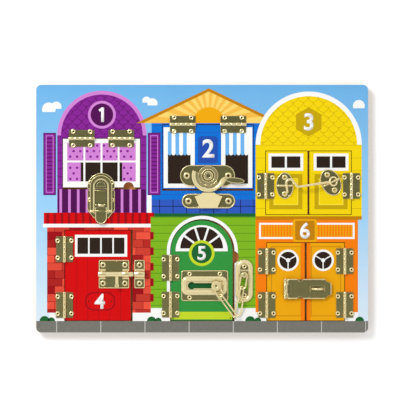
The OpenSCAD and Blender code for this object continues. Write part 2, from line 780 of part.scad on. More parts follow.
module door_3_left() {
  color("gold")
    blank(door_3_left_points)
      translate([doors_3_left_x + edge, doors_3_top - doors_3_h]) square([doors_3_leaf_w, doors_3_h]);
}

module door_3_right() {
  color("gold")
    blank(door_3_right_points)
      translate([doors_3_right_x - edge - doors_3_leaf_w, doors_3_top - doors_3_h])
        square([doors_3_leaf_w, doors_3_h]);
}

module door_4() {
  color("red")
    blank(door_4_points)
      translate([door_4_axis_x + edge, door_4_top - door_4_h]) square([door_4_w, door_4_h]);
}

module door_5() {
  color("seagreen")
    blank(door_5_points)
      translate([door_5_axis_x + edge, door_5_bottom]) {
        square([door_5_w, door_5_side_h]);
        translate([door_5_w / 2, door_5_side_h]) circle(door_5_w / 2);
      }
}

module door_6_left() {
  color("orange")
    blank(door_6_left_points)
      translate([doors_6_left_x + edge, doors_6_top - doors_6_h]) square([doors_6_leaf_w, doors_6_h]);
}

module door_6_right() {
  color("orange")
    blank(door_6_right_points)
      translate([doors_6_right_x - edge - doors_6_leaf_w, doors_6_top - doors_6_h])
        square([doors_6_leaf_w, doors_6_h]);
}

// ---- Draw latch ----

module draw_catch_plate() {
  r = draw_plate_w / 2;
  color(brass) {
    difference() {
      sheet()
        translate([draw_x, catch_y])
          difference() {
            circle(r);
            translate([-r - 1, flap_1_bottom - catch_reach - catch_y - 2 * r]) square([2 * r + 2, 2 * r]);
          }
      rivet_holes(catch_rivets);
    }
    // The catch: a half-round boss that the loop's arch draws on
    translate([draw_x, catch_y, plate_z - eps])
      linear_extrude(catch_rise + eps)
        difference() {
          circle(catch_r);
          translate([-catch_r - 1, -2 * catch_r]) square([2 * catch_r + 2, 2 * catch_r]);
        }
  }
}

module draw_base_plate() {
  half = draw_plate_w / 2;
  cut = [7.5, 9.5];
  pad_top = draw_base_top - 0.2;
  ear_w = 3.2;
  color(brass)
    difference() {
      union() {
        sheet()
          translate([draw_x, draw_base_top])
            polygon([[-half + 2, 0], [half - 2, 0], [half, -2], [half, cut.y - draw_base_h],
                     [half - cut.x, -draw_base_h], [cut.x - half, -draw_base_h],
                     [-half, cut.y - draw_base_h], [-half, -2]]);
        // Raised pad between the loop's sides, with a folded lip at its top
        translate([draw_x - lever_w / 2, lever_y + knuckle_r, plate_z - eps])
          cube([lever_w, pad_top - lever_y - knuckle_r, 1.4]);
        translate([draw_x - lever_w / 2, pad_top - 1.1, plate_z + 1.2])
          rotate([0, 90, 0]) cylinder(r = 1.1, h = lever_w);
        // Ears that carry the lever's pin
        for (s = [-1, 1])
          translate([draw_x + s * (lever_w - ear_w) / 2, lever_y, plate_axis_z]) {
            rotate([0, 90, 0]) cylinder(r = knuckle_r, h = ear_w, center = true);
            translate([-ear_w / 2, 0, plate_z - plate_axis_z - eps])
              cube([ear_w, knuckle_r + 0.5, plate_axis_z - plate_z]);
          }
      }
      translate([draw_x - half, lever_y, plate_axis_z])
        rotate([0, 90, 0]) cylinder(r = pin_hole_r, h = 2 * half);
      rivet_holes(draw_base_rivets);
    }
}

module draw_lever_pin() {
  color(bright)
    translate([draw_x, lever_y, plate_axis_z])
      rotate([0, 90, 0]) cylinder(r = pin_r, h = lever_w, center = true);
}

module draw_lever() {
  barrel_w = lever_w - 2 * 3.2 - 2 * knuckle_gap;
  tip_r = lever_w / 2;
  tongue_z = plate_axis_z + 0.1;
  inner_y = lever_y - knuckle_r - leaf_gap;
  color(bright)
    difference() {
      union() {
        translate([0, 0, tongue_z])
          linear_extrude(lever_t) {
            translate([draw_x, lever_y - lever_len + tip_r]) circle(tip_r);
            translate([draw_x - lever_w / 2, lever_y - lever_len + tip_r])
              square([lever_w, inner_y - (lever_y - lever_len + tip_r)]);
            translate([draw_x - barrel_w / 2, inner_y - 0.5]) square([barrel_w, lever_y - inner_y + 0.5]);
          }
        translate([draw_x, lever_y, plate_axis_z]) rotate([0, 90, 0])
          cylinder(r = knuckle_r, h = barrel_w, center = true);
        translate([draw_x, loop_pivot_y, plate_axis_z]) rotate([0, 90, 0])
          cylinder(r = loop_eye_r, h = lever_w, center = true);
      }
      translate([draw_x, lever_y, plate_axis_z]) rotate([0, 90, 0])
        cylinder(r = pin_hole_r, h = 2 * lever_w, center = true);
      translate([draw_x, loop_pivot_y, plate_axis_z]) rotate([0, 90, 0])
        cylinder(r = loop_pin_r + pin_fit, h = 2 * lever_w, center = true);
    }
}

module draw_loop_pin() {
  color(bright)
    translate([draw_x, loop_pivot_y, plate_axis_z]) rotate([0, 90, 0])
      cylinder(r = loop_pin_r, h = 2 * loop_r, center = true);
}

// Loop: a flat arch with two legs, an eye on each leg, and a raised bead along its inner edge
module draw_loop() {
  arch_y = catch_y + 0.5;
  end_drop = 4.6;
  bead = 1.9;
  low_y = loop_pivot_y - end_drop;
  color(bright)
    difference() {
      union() {
        translate([draw_x, 0, plate_axis_z - loop_t / 2])
          linear_extrude(loop_t) loop_outline(loop_r, arch_y, low_y);
        translate([draw_x, 0, plate_axis_z])
          linear_extrude(loop_t / 2 + 0.7) loop_outline(loop_inner_r + bead, arch_y, low_y);
        for (s = [-1, 1])
          translate([draw_x + s * (loop_r + loop_inner_r) / 2, loop_pivot_y, plate_axis_z])
            rotate([0, 90, 0]) cylinder(r = loop_eye_r, h = loop_band, center = true);
      }
      translate([draw_x, loop_pivot_y, plate_axis_z]) rotate([0, 90, 0])
        cylinder(r = loop_pin_r + pin_fit, h = 3 * loop_r, center = true);
    }
}

module loop_outline(r, arch_y, low_y) {
  taper = 3;
  difference() {
    union() {
      translate([0, arch_y]) circle(r);
      polygon([[-r, arch_y], [-r, low_y + taper], [taper - r, low_y], [r - taper, low_y],
               [r, low_y + taper], [r, arch_y]]);
    }
    translate([0, arch_y]) circle(loop_inner_r);
    translate([-loop_inner_r, low_y - 1]) square([2 * loop_inner_r, arch_y - low_y + 1]);
  }
}

// ---- Sash lock ----

module sash_plate() {
  color(brass)
    difference() {
      sheet()
        translate([sash_x, sash_y]) rounded_rect(sash_w, sash_h, sash_h / 2 - eps);
      rivet_holes(sash_rivet_points);
      translate([cam_x, sash_y, face_z - 1]) cylinder(r = sash_pivot_r + pin_fit, h = plate_t + 2);
    }
}

module sash_pivot() {
  head_r = 5.7;
  head_z = crescent_z + 0.4;
  color(bright)
    translate([cam_x, sash_y, 0])
      difference() {
        union() {
          translate([0, 0, face_z]) cylinder(r = sash_pivot_r, h = head_z - face_z + 0.5);
          translate([0, 0, head_z]) cylinder(r = head_r, h = 0.9);
          translate([0, 0, head_z + 0.9]) cylinder(r1 = head_r, r2 = head_r - 1.2, h = 0.9);
        }
        translate([0, 0, head_z + 0.9]) cylinder(r = 3, h = 2);
      }
}

// Cam: a disc on the pivot, a crescent that rises from its rim, and a thumb lever
module sash_cam() {
  crescent_top = cam_t + crescent_rise;
  color(bright)
    difference() {
      translate([cam_x, sash_y, cam_z]) {
        linear_extrude(cam_t) {
          circle(cam_disc_r);
          cam_sector(cam_inner_r + 0.5, 326);
        }
        linear_extrude(crescent_top)
          difference() {
            cam_sector(cam_r, 300);
            circle(cam_inner_r);
          }
        translate([0, 0, cam_t + 0.2]) linear_extrude(crescent_rise - 0.2) thumb_lever();
      }
      translate([cam_x, sash_y, cam_z - 1]) cylinder(r = sash_pivot_r + pin_fit, h = 20);
    }
}

// The part of a disc that lies between the crescent's tip and a root angle
module cam_sector(r, root) {
  tip = 161;
  steps = 12;
  intersection() {
    circle(r);
    polygon(concat([[0, 0]], [for (i = [0 : steps])
      let(a = tip + (root - tip) * i / steps) 2 * r * [cos(a), sin(a)]]));
  }
}

// A neck that runs on from the crescent at a tangent, and an oval pad at its end
module thumb_lever() {
  pad = cam_r * [1.631, -0.287];
  polygon([cam_r * [0.282, -0.752], cam_r * [0.359, -0.728], cam_r * [0.621, -0.421],
           cam_r * [0.795, -0.169], cam_r * [0.979, -0.062], pad + [-thumb_w / 3, 0.42 * thumb_h],
           pad, pad + [-thumb_w / 3, -0.18 * thumb_h], cam_r * [1.087, -0.297],
           cam_r * [1.01, -0.421], cam_r * [0.918, -0.574], cam_r * [0.667, -0.74],
           cam_r * [0.451, -0.885], cam_r * [0.352, -0.928]]);
  translate(pad) rotate(-6) oval(thumb_w, thumb_h);
}

module sash_keeper() {
  wall = 1;
  color(bright)
    difference() {
      union() {
        sheet() translate([keeper_x, keeper_y]) rounded_rect(keeper_w, keeper_h, keeper_h / 2 - eps);
        translate([keeper_x, keeper_top, plate_z - eps]) linear_extrude(hood_rise) hood_outline(0);
      }
      // The hood is hollow and open towards the lock
      translate([keeper_x, keeper_top, plate_z])
        linear_extrude(hood_rise - wall - eps) {
          hood_outline(wall);
          translate([wall - hood_mouth / 2, -2 * wall]) square([hood_mouth - 2 * wall, 4 * wall]);
        }
      rivet_holes(keeper_rivet_points);
    }
}

// Hood in plan: a narrow mouth, flared wings and a tapered foot, drawn down from its mouth
module hood_outline(inset) {
  mouth = hood_mouth / 2 - inset;
  wing = hood_wings / 2 - 2 * inset;
  shoulder = hood_wings / 3 - inset;
  foot = hood_foot / 2 - inset;
  bottom = 0.3 + inset - keeper_h - hood_reach;
  dip = keeper_h / 4;
  polygon([[-mouth, -inset], [mouth, -inset], [shoulder, -0.7 * dip - inset], [wing, -dip - inset],
           [foot, bottom], [-foot, bottom], [-wing, -dip - inset], [-shoulder, -0.7 * dip - inset]]);
}

// ---- Hook ----

module hook_rest_plate() {
  color(brass)
    difference() {
      sheet() translate([rest_x, rest_y]) oval(rest_plate_w, rest_plate_h);
      rivet_holes(rest_rivets);
      staple_holes([rest_x, rest_y], 0, rest_staple_w, staple_r);
    }
}

module hook_rest_staple() {
  color(bright)
    translate([rest_x, rest_y, plate_z]) wire_staple(rest_staple_w, rest_staple_rise, staple_r, 1.8);
}

module hook_eye_plate() {
  color(brass)
    difference() {
      sheet() translate([eye_x, eye_y]) rotate(eye_plate_tilt) oval(eye_plate_w, eye_plate_h);
      rivet_holes(eye_rivets);
      staple_holes([eye_x, eye_y], eye_plate_tilt, eye_staple_w, staple_r);
    }
}

module hook_eye_staple() {
  color(bright)
    translate([eye_x, eye_y, plate_z]) rotate([0, 0, eye_plate_tilt])
      wire_staple(eye_staple_w, eye_staple_rise, staple_r, 1.3);
}

module staple_holes(at, turn, w, r) {
  translate([at.x, at.y, face_z - 1]) rotate([0, 0, turn])
    for (s = [-1, 1]) translate([s * w / 2, 0, 0]) cylinder(r = r + pin_fit, h = plate_t + 2);
}

// Hook: a ring round the staple's bar, a rod across the gap and a swan neck over the other staple
module hook() {
  reach = norm([ring_x, ring_y] - hook_knee);
  ring_out = ring_r * cos(ring_tilt);
  knee_bend = 60;
  knee_r = 2.5;
  tip_drop = 28;
  rod_len = reach - ring_out - knee_r * tan(knee_bend / 2);
  color(bright)
    translate([ring_x, ring_y, ring_z]) rotate([0, 0, 180 + hook_turn]) {
      rotate([0, -ring_tilt, 0]) rotate_extrude() translate([ring_r, 0]) circle(ring_wire_r, $fn = 32);
      translate([ring_out, 0, rod_z - ring_z])
        bent_rod([[rod_len, 0], [knee_r, -knee_bend], [neck_len, 0], [neck_r, 150], [3, 0]], hook_rod_r) {
          // The tip turns down behind the staple's bar
          sphere(hook_rod_r + 0.1, $fn = 32);
          rotate([0, 90 + tip_drop, 0]) {
            cylinder(r = hook_rod_r, h = hook_tip_len, $fn = 32);
            translate([0, 0, hook_tip_len])
              cylinder(r1 = hook_rod_r, r2 = hook_rod_r - 0.5, h = 0.6, $fn = 32);
          }
        }
    }
}

// ---- Bolt ----

// Strap bent over the rod: an arch with sloping feet, from x = 0 to x = w
module bolt_strap(w) {
  foot = strap_out_r + 2;
  rise = bolt_z - plate_z;
  rotate([90, 0, 90])
    linear_extrude(w)
      difference() {
        union() {
          translate([0, rise]) circle(strap_out_r);
          polygon([[-foot, 0], [foot, 0], [strap_out_r, 1.4], [strap_out_r, rise], [-strap_out_r, rise],
                   [-strap_out_r, 1.4]]);
        }
        translate([0, rise]) circle(strap_r);
        translate([-strap_r, -1]) square([2 * strap_r, rise + 1]);
      }
}

module bolt_plate() {
  color(brass) {
    difference() {
      sheet()
        translate([bolt_plate_right - bolt_plate_w / 2, bolt_y])
          rounded_rect(bolt_plate_w, bolt_plate_h, 1.6);
      rivet_holes(bolt_rivets);
    }
    translate([bolt_plate_left, bolt_y, plate_z - eps]) bolt_strap(far_strap_w);
    translate([bolt_plate_right - near_strap_w, bolt_y, plate_z - eps]) bolt_strap(near_strap_w);
  }
}

module bolt_rod() {
  tail_x = bolt_plate_left - 0.6;
  length = bolt_tip_x - tail_x;
  color(bright)
    difference() {
      translate([tail_x, bolt_y, bolt_z]) rotate([0, 90, 0]) {
        cylinder(r = bolt_r, h = length - 1);
        translate([0, 0, length - 1]) cylinder(r1 = bolt_r, r2 = bolt_r - 0.9, h = 1);
      }
      translate([handle_at_x, bolt_y, bolt_z])
        rotate([90, 0, 0]) cylinder(r = handle_r + pin_fit, h = bolt_r + 1);
    }
}

module bolt_handle() {
  knob_r = 2.7;
  color(bright)
    difference() {
      union() {
        translate([handle_at_x, bolt_y, bolt_z])
          rotate([90, 0, 0]) cylinder(r = handle_r, h = handle_len);
        translate([handle_at_x, bolt_y - handle_len, bolt_z - 1.9]) cylinder(r = knob_r, h = 4.6);
      }
      translate([handle_at_x, bolt_y - handle_len, bolt_z + 1.7]) cylinder(r = 1.1, h = 3);
    }
}

module bolt_keeper() {
  color(brass) {
    difference() {
      sheet()
        translate([bolt_keeper_x + bolt_keeper_w / 2, bolt_y])
          rounded_rect(bolt_keeper_w, bolt_plate_h, 1.6);
      rivet_holes(bolt_keeper_rivets);
    }
    translate([bolt_keeper_x, bolt_y, plate_z - eps]) bolt_strap(bolt_keeper_w);
  }
}

// ---- Chain ----

// Slide plate: a flat plate with a raised frame, and a raised floor in it with the keyhole slot
module chain_slide_plate() {
  floor_w = frame_w - 2 * frame_rim;
  floor_h = frame_h - 2 * frame_rim;
  color(brass)
    difference() {
      union() {
        sheet() translate([track_x, slot_y]) rounded_rect(track_w, track_h, 3);
        translate([frame_x, slot_y, plate_z - eps]) {
          linear_extrude(frame_rise - 0.6) rounded_rect(frame_w, frame_h, 7);
          linear_extrude(frame_rise) rounded_rect(frame_w - 1.6, frame_h - 1.6, 6.2);
        }
      }
      // Pocket above the floor, and the room under it for the slider's foot
      translate([frame_x, slot_y, slide_floor_z + plate_t])
        linear_extrude(frame_rise) rounded_rect(floor_w, floor_h, 2.5);
      translate([frame_x, slot_y, face_z - 1])
        linear_extrude(slide_floor_z - face_z + 1) rounded_rect(floor_w, floor_h, 2.5);
      translate([keyhole_x, slot_y, face_z]) {
        cylinder(r = keyhole_r, h = frame_rise + 4);
        linear_extrude(frame_rise + 4) {
          translate([0, -slot_r]) square([slot_len, 2 * slot_r]);
          translate([slot_len, 0]) circle(slot_r);
        }
      }
      rivet_holes(track_rivets);
    }
}

// Slider: a foot under the floor, a neck through the slot and a round knob over the chain
module chain_slider() {
  foot_r = 3.9;
  foot_z = face_z + 0.3;
  color(bright)
    translate([slider_x, slot_y, 0])
      difference() {
        union() {
          translate([0, 0, foot_z]) cylinder(r = foot_r, h = slide_floor_z - 0.3 - foot_z);
          translate([0, 0, foot_z]) cylinder(r = slot_r - 0.3, h = frame_z + 0.2 - foot_z);
          translate([0, 0, foot_z]) cylinder(r = slider_neck_r, h = knob_z + 0.5 - foot_z);
          translate([0, 0, knob_z]) cylinder(r1 = slider_knob_r - 1, r2 = slider_knob_r, h = 0.8);
          translate([0, 0, knob_z + 0.8]) cylinder(r1 = slider_knob_r, r2 = slider_knob_r - 1.6, h = 1.2);
        }
        translate([0, 0, knob_z + 1.1]) cylinder(r = 2.2, h = 3);
      }
}

// The slider's side of the chain: a short link on the slider's neck, and a long one that
// crosses the door's edge above the lowest link of the anchor's side
short_turn = -66;
short_way = [cos(short_turn), sin(short_turn), 0];
short_start = [slider_x, slot_y, chain_z] - neck_reach * short_way;
short_end = short_start + short_link * short_way;
long_end = [door_5_edge_x + 4.3, door_5_bottom + 3.8, chain_z];
long_start = short_end - link_pitch * unit(long_end - short_end);

module chain_slider_links() {
  color(bright) {
    chain_link(short_start, short_end, 0);
    chain_link(long_start, long_end, link_tilt);
  }
}

module chain_anchor_plate() {
  inner_w = anchor_w - 2 * anchor_rim;
  inner_h = anchor_h - 2 * anchor_rim;
  color(brass)
    difference() {
      union() {
        sheet()
          difference() {
            translate([anchor_mid_x, anchor_mid_y]) rounded_rect(anchor_w, anchor_h, anchor_w / 2 - eps);
            // The board shows through a window below the post
            translate([anchor_mid_x, anchor_mid_y - 4.6]) rounded_rect(inner_w - 1.6, 14, 2);
          }
        translate([anchor_mid_x, anchor_mid_y, plate_z - eps])
          linear_extrude(rivet_rise)
            difference() {
              rounded_rect(anchor_w - 1, anchor_h - 1, anchor_w / 2 - 0.5 - eps);
              rounded_rect(inner_w, inner_h, inner_w / 2 - eps);
            }
        translate([anchor_mid_x - inner_w / 2 - 0.5, post_at_y + 4.6, plate_z - eps])
          cube([inner_w + 1, 1.6, rivet_rise]);
      }
      rivet_holes(anchor_rivet_points);
      translate([anchor_mid_x, post_at_y, face_z - 1])
        cylinder(r = slider_neck_r + pin_fit, h = plate_t + 2);
    }
}

// Post: a headed stud that the chain's last link turns on
module chain_post() {
  head_r = 3.3;
  color(bright)
    translate([anchor_mid_x, post_at_y, 0])
      difference() {
        union() {
          translate([0, 0, face_z]) cylinder(r = slider_neck_r, h = knob_z + 0.5 - face_z);
          translate([0, 0, knob_z]) cylinder(r1 = head_r, r2 = head_r - 0.7, h = 1.1);
        }
        translate([0, 0, knob_z + 0.4]) cylinder(r = 1.2, h = 2);
      }
}

// The anchor's side of the chain: three links in line, the last one sloping down to the board
anchor_end = [door_5_edge_x + 5.5, door_5_bottom + 5.6, chain_z];
anchor_post = [anchor_mid_x, post_at_y, chain_z];
anchor_way = unit(anchor_end - anchor_post);
anchor_link = (norm(anchor_end - anchor_post) + neck_reach + 2 * link_pitch) / 3;
first_start = anchor_post - neck_reach * anchor_way;
second_start = first_start + (anchor_link - link_pitch) * anchor_way;
third_start = second_start + (anchor_link - link_pitch) * anchor_way;

module chain_anchor_links() {
  color(bright) {
    chain_link(first_start, first_start + anchor_link * anchor_way, 0);
    chain_link(second_start, second_start + anchor_link * anchor_way, -link_tilt);
    chain_link(third_start, [anchor_end.x, anchor_end.y, face_z + turn_gap + wire_r], 0);
  }
}

// ---- Hasp ----

hasp_ear_w = 4.6;

module hasp_leaf() {
  plate_w = 19.5;
  leaf_h = hasp_w - 1;
  color(brass)
    difference() {
      union() {
        sheet()
          translate([hasp_axis_x + knuckle_r + leaf_gap, hasp_y - leaf_h / 2])
            square([plate_w, leaf_h]);
        // Two ears that stand on the leaf's edge and carry the pin
        for (s = [-1, 1])
          translate([hasp_axis_x, hasp_y + s * (hasp_w - hasp_ear_w) / 2, hasp_axis_z]) {
            rotate([90, 0, 0]) cylinder(r = knuckle_r, h = hasp_ear_w, center = true);
            translate([-knuckle_r, -hasp_ear_w / 2, face_z - hasp_axis_z])
              cube([2 * knuckle_r + leaf_gap + 0.5, hasp_ear_w, plate_t]);
            translate([-knuckle_r, -hasp_ear_w / 2, face_z - hasp_axis_z])
              cube([2 * knuckle_r - 0.6, hasp_ear_w, hasp_axis_z - face_z]);
          }
      }
      translate([hasp_axis_x, hasp_y + hasp_w, hasp_axis_z]) rotate([90, 0, 0])
        cylinder(r = pin_hole_r, h = 2 * hasp_w);
      rivet_holes(hasp_leaf_rivets);
    }
}

module hasp_pin() {
  color(bright)
    translate([hasp_axis_x, hasp_y, hasp_axis_z])
      rotate([90, 0, 0]) cylinder(r = pin_r, h = hasp_w, center = true);
}

// Strap: one middle knuckle, a window by it, two side notches, a slot and a stepped nose
module hasp_strap() {
  barrel_h = hasp_w - 2 * hasp_ear_w - 2 * knuckle_gap;
  half = hasp_w / 2;
  nose = 6.9;
  start = knuckle_r + leaf_gap;
  color(brass)
    difference() {
      union() {
        translate([hasp_axis_x, hasp_y, hasp_under_z])
          linear_extrude(hasp_t)
            difference() {
              union() {
                polygon([[start, -half], [hasp_len - 8.4, -half], [hasp_len - 5.6, -half + 2.6],
                         [hasp_len - 2.4, -nose - 0.5], [hasp_len, -nose], [hasp_len, nose],
                         [hasp_len - 2.4, nose + 0.5], [hasp_len - 5.6, half - 2.6], [hasp_len - 8.4, half],
                         [start, half]]);
                translate([0, -barrel_h / 2]) square([start + 1, barrel_h]);
              }
              for (s = [-1, 1])
                translate([17.8, s * (half + 0.6)]) circle(3.6);
              translate([staple_mid_x - hasp_axis_x, 0]) rounded_rect(hasp_slot_w, hasp_slot_h, 2.4);
            }
        translate([hasp_axis_x, hasp_y, hasp_axis_z]) rotate([90, 0, 0])
          cylinder(r = knuckle_r, h = barrel_h, center = true);
      }
      translate([hasp_axis_x + start + 0.3, hasp_y - 5, hasp_under_z - 1]) cube([4, 10, 5]);
      translate([hasp_axis_x, hasp_y, hasp_axis_z]) rotate([90, 0, 0])
        cylinder(r = pin_hole_r, h = 2 * hasp_w, center = true);
    }
}

module hasp_staple_plate() {
  color(brass)
    difference() {
      sheet() translate([staple_mid_x, hasp_y]) rounded_rect(18, 20.6, 3);
      rivet_holes(hasp_staple_rivets);
      staple_holes([staple_mid_x, hasp_y], 0, hasp_staple_w, hasp_wire_r);
    }
}

module hasp_staple() {
  color(bright)
    translate([staple_mid_x, hasp_y, plate_z])
      wire_staple(hasp_staple_w, hasp_staple_rise - hasp_wire_r, hasp_wire_r, hasp_staple_w / 2 - 0.4);
}

// ---- Nodes ----

front_board();
back_panel();
board_hinge_leaves();
hinge_pins();
board_rivets();
flap_1();
door_leaves(hinges_1);  // flap_1_hinge_leaves
rivets(flap_1_points);  // flap_1_rivets
flap_2();
door_leaves(hinges_2);  // flap_2_hinge_leaves
rivets(flap_2_points);  // flap_2_rivets
door_3_left();
door_leaves(hinges_3_left);  // door_3_left_hinge_leaf
rivets(door_3_left_points);  // door_3_left_rivets
door_3_right();
door_leaves(hinges_3_right);  // door_3_right_hinge_leaf
rivets(door_3_right_points);  // door_3_right_rivets
door_4();
door_leaves(hinges_4);  // door_4_hinge_leaves
rivets(door_4_points);  // door_4_rivets
door_5();
door_leaves(hinges_5);  // door_5_hinge_leaves
rivets(door_5_points);  // door_5_rivets
door_6_left();
door_leaves(hinges_6_left);  // door_6_left_hinge_leaves
rivets(door_6_left_points);  // door_6_left_rivets
door_6_right();
door_leaves(hinges_6_right);  // door_6_right_hinge_leaves
rivets(door_6_right_points);  // door_6_right_rivets
draw_catch_plate();
draw_base_plate();
draw_lever();
draw_lever_pin();
draw_loop();
draw_loop_pin();
sash_plate();
sash_pivot();
sash_cam();
sash_keeper();
hook_rest_plate();
hook_rest_staple();
hook_eye_plate();
hook_eye_staple();
hook();
bolt_plate();
bolt_rod();
bolt_handle();
bolt_keeper();
chain_slide_plate();
chain_slider();
chain_slider_links();
chain_anchor_plate();
chain_post();
chain_anchor_links();
hasp_leaf();
hasp_pin();
hasp_strap();
hasp_staple_plate();
hasp_staple();
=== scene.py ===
"""Looks of the wooden busy board: its print, its sheet brass and its six latches.

Lengths are in millimetres unless a name says otherwise, and MM turns them into Blender's metres.
"""

import logging
import math
from collections.abc import Callable
from dataclasses import dataclass, field
from enum import Enum
from functools import partialmethod, wraps

import bpy
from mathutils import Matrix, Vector


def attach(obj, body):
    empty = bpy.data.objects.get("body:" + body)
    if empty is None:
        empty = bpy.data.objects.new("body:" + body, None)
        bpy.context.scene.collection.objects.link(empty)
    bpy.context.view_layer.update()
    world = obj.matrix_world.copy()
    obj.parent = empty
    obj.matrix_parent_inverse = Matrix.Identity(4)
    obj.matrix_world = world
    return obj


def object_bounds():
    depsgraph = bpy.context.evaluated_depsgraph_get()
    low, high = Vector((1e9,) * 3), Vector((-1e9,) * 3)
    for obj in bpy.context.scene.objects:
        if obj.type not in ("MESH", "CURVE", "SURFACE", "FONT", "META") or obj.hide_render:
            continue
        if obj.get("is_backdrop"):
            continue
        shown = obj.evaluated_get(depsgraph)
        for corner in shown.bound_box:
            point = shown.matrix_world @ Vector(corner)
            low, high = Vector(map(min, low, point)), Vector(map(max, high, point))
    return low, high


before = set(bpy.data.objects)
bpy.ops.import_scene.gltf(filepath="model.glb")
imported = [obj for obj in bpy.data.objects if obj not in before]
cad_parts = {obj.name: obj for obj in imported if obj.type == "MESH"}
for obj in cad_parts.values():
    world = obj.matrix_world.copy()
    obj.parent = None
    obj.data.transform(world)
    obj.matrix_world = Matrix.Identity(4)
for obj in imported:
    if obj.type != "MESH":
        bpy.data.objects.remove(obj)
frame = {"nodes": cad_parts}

LOG = logging.getLogger("busy_board")
MM = 0.001
BOARD_LOW, BOARD_HIGH = -147.0, 147.0
BACK_PANEL_TOP = 3.0
FACE_Z = 12.0
PLATE_Z = 12.9
INK_LAYER = 0.014
INK_THICKNESS = 0.01

Node = bpy.types.Node
Socket = bpy.types.NodeSocket
Sockets = bpy.types.bpy_prop_collection
Tree = bpy.types.NodeTree
Object = bpy.types.Object
Material = bpy.types.Material
Feed = Socket | float | tuple[float, ...]


# ---- Colours and places ----


@dataclass(frozen=True)
class Tint:
    """A colour as it reads on paper, from 0 to 255."""

    red: float
    green: float
    blue: float

    def linear(self) -> tuple[float, ...]:
        """Return the colour in linear light, with full alpha."""
        return (*map(self._channel, (self.red, self.green, self.blue)), 1.0)

    @staticmethod
    def _channel(value: float) -> float:
        """Turn one channel into linear light."""
        v = value / 255.0
        return v / 12.92 if v <= 0.04045 else ((v + 0.055) / 1.055) ** 2.4


class Ink(Enum):
    """The inks of the print."""

    WHITE = Tint(238, 238, 236)
    PANE = Tint(42, 30, 22)
    PURPLE = Tint(128, 32, 142)
    PURPLE_DEEP = Tint(76, 10, 78)
    LILAC = Tint(200, 124, 202)
    BLUE = Tint(8, 108, 204)
    BLUE_DEEP = Tint(34, 76, 168)
    BLUE_PALE = Tint(104, 172, 228)
    TILE = Tint(44, 84, 182)
    TILE_JOINT = Tint(16, 26, 74)
    YELLOW = Tint(236, 206, 6)
    YELLOW_DEEP = Tint(190, 160, 4)
    YELLOW_PALE = Tint(244, 224, 70)
    RED = Tint(204, 2, 6)
    RED_DEEP = Tint(150, 4, 16)
    RED_PALE = Tint(236, 84, 62)
    MORTAR = Tint(120, 4, 14)
    GREEN = Tint(48, 142, 60)
    GREEN_DEEP = Tint(24, 94, 44)
    LIME = Tint(120, 174, 28)
    LIME_DEEP = Tint(66, 120, 20)
    LIME_PALE = Tint(188, 208, 40)
    ORANGE = Tint(238, 122, 4)
    AMBER = Tint(230, 162, 6)
    AMBER_DEEP = Tint(186, 122, 4)
    GOLD = Tint(234, 180, 72)
    GOLD_PALE = Tint(246, 204, 104)
    STONE = Tint(104, 104, 98)
    STONE_PALE = Tint(124, 122, 114)
    STONE_JOINT = Tint(186, 184, 178)
    BARE_WOOD = Tint(230, 164, 100)

    def linear(self) -> tuple[float, ...]:
        """Return the ink in linear light."""
        return self.value.linear()


@dataclass(frozen=True)
class Box:
    """A rectangle that is square to the board, seen from above it."""

    left: float
    right: float
    low: float
    high: float

    @staticmethod
    def of(node: str) -> "Box":
        """Measure a CAD node.

        Args:
            node: The node's name.

        Returns:
            Its box in plan.
        """
        places = [vertex.co / MM for vertex in frame["nodes"][node].data.vertices]
        across, along = [p.x for p in places], [p.y for p in places]
        return Box(min(across), max(across), min(along), max(along))

    @property
    def middle(self) -> tuple[float, float]:
        """Return its middle."""
        return (self.left + self.right) / 2, (self.low + self.high) / 2

    @property
    def half(self) -> tuple[float, float]:
        """Return half its width and half its height."""
        return (self.right - self.left) / 2, (self.high - self.low) / 2

    def inset(self, left: float, right: float, low: float, high: float) -> "Box":
        """Return a box whose four sides lie further in."""
        return Box(self.left + left, self.right - right, self.low + low, self.high - high)

    def inside(self, margin: float) -> "Box":
        """Return a box that is smaller by a margin all round."""
        return self.inset(margin, margin, margin, margin)


# ---- Node wiring ----


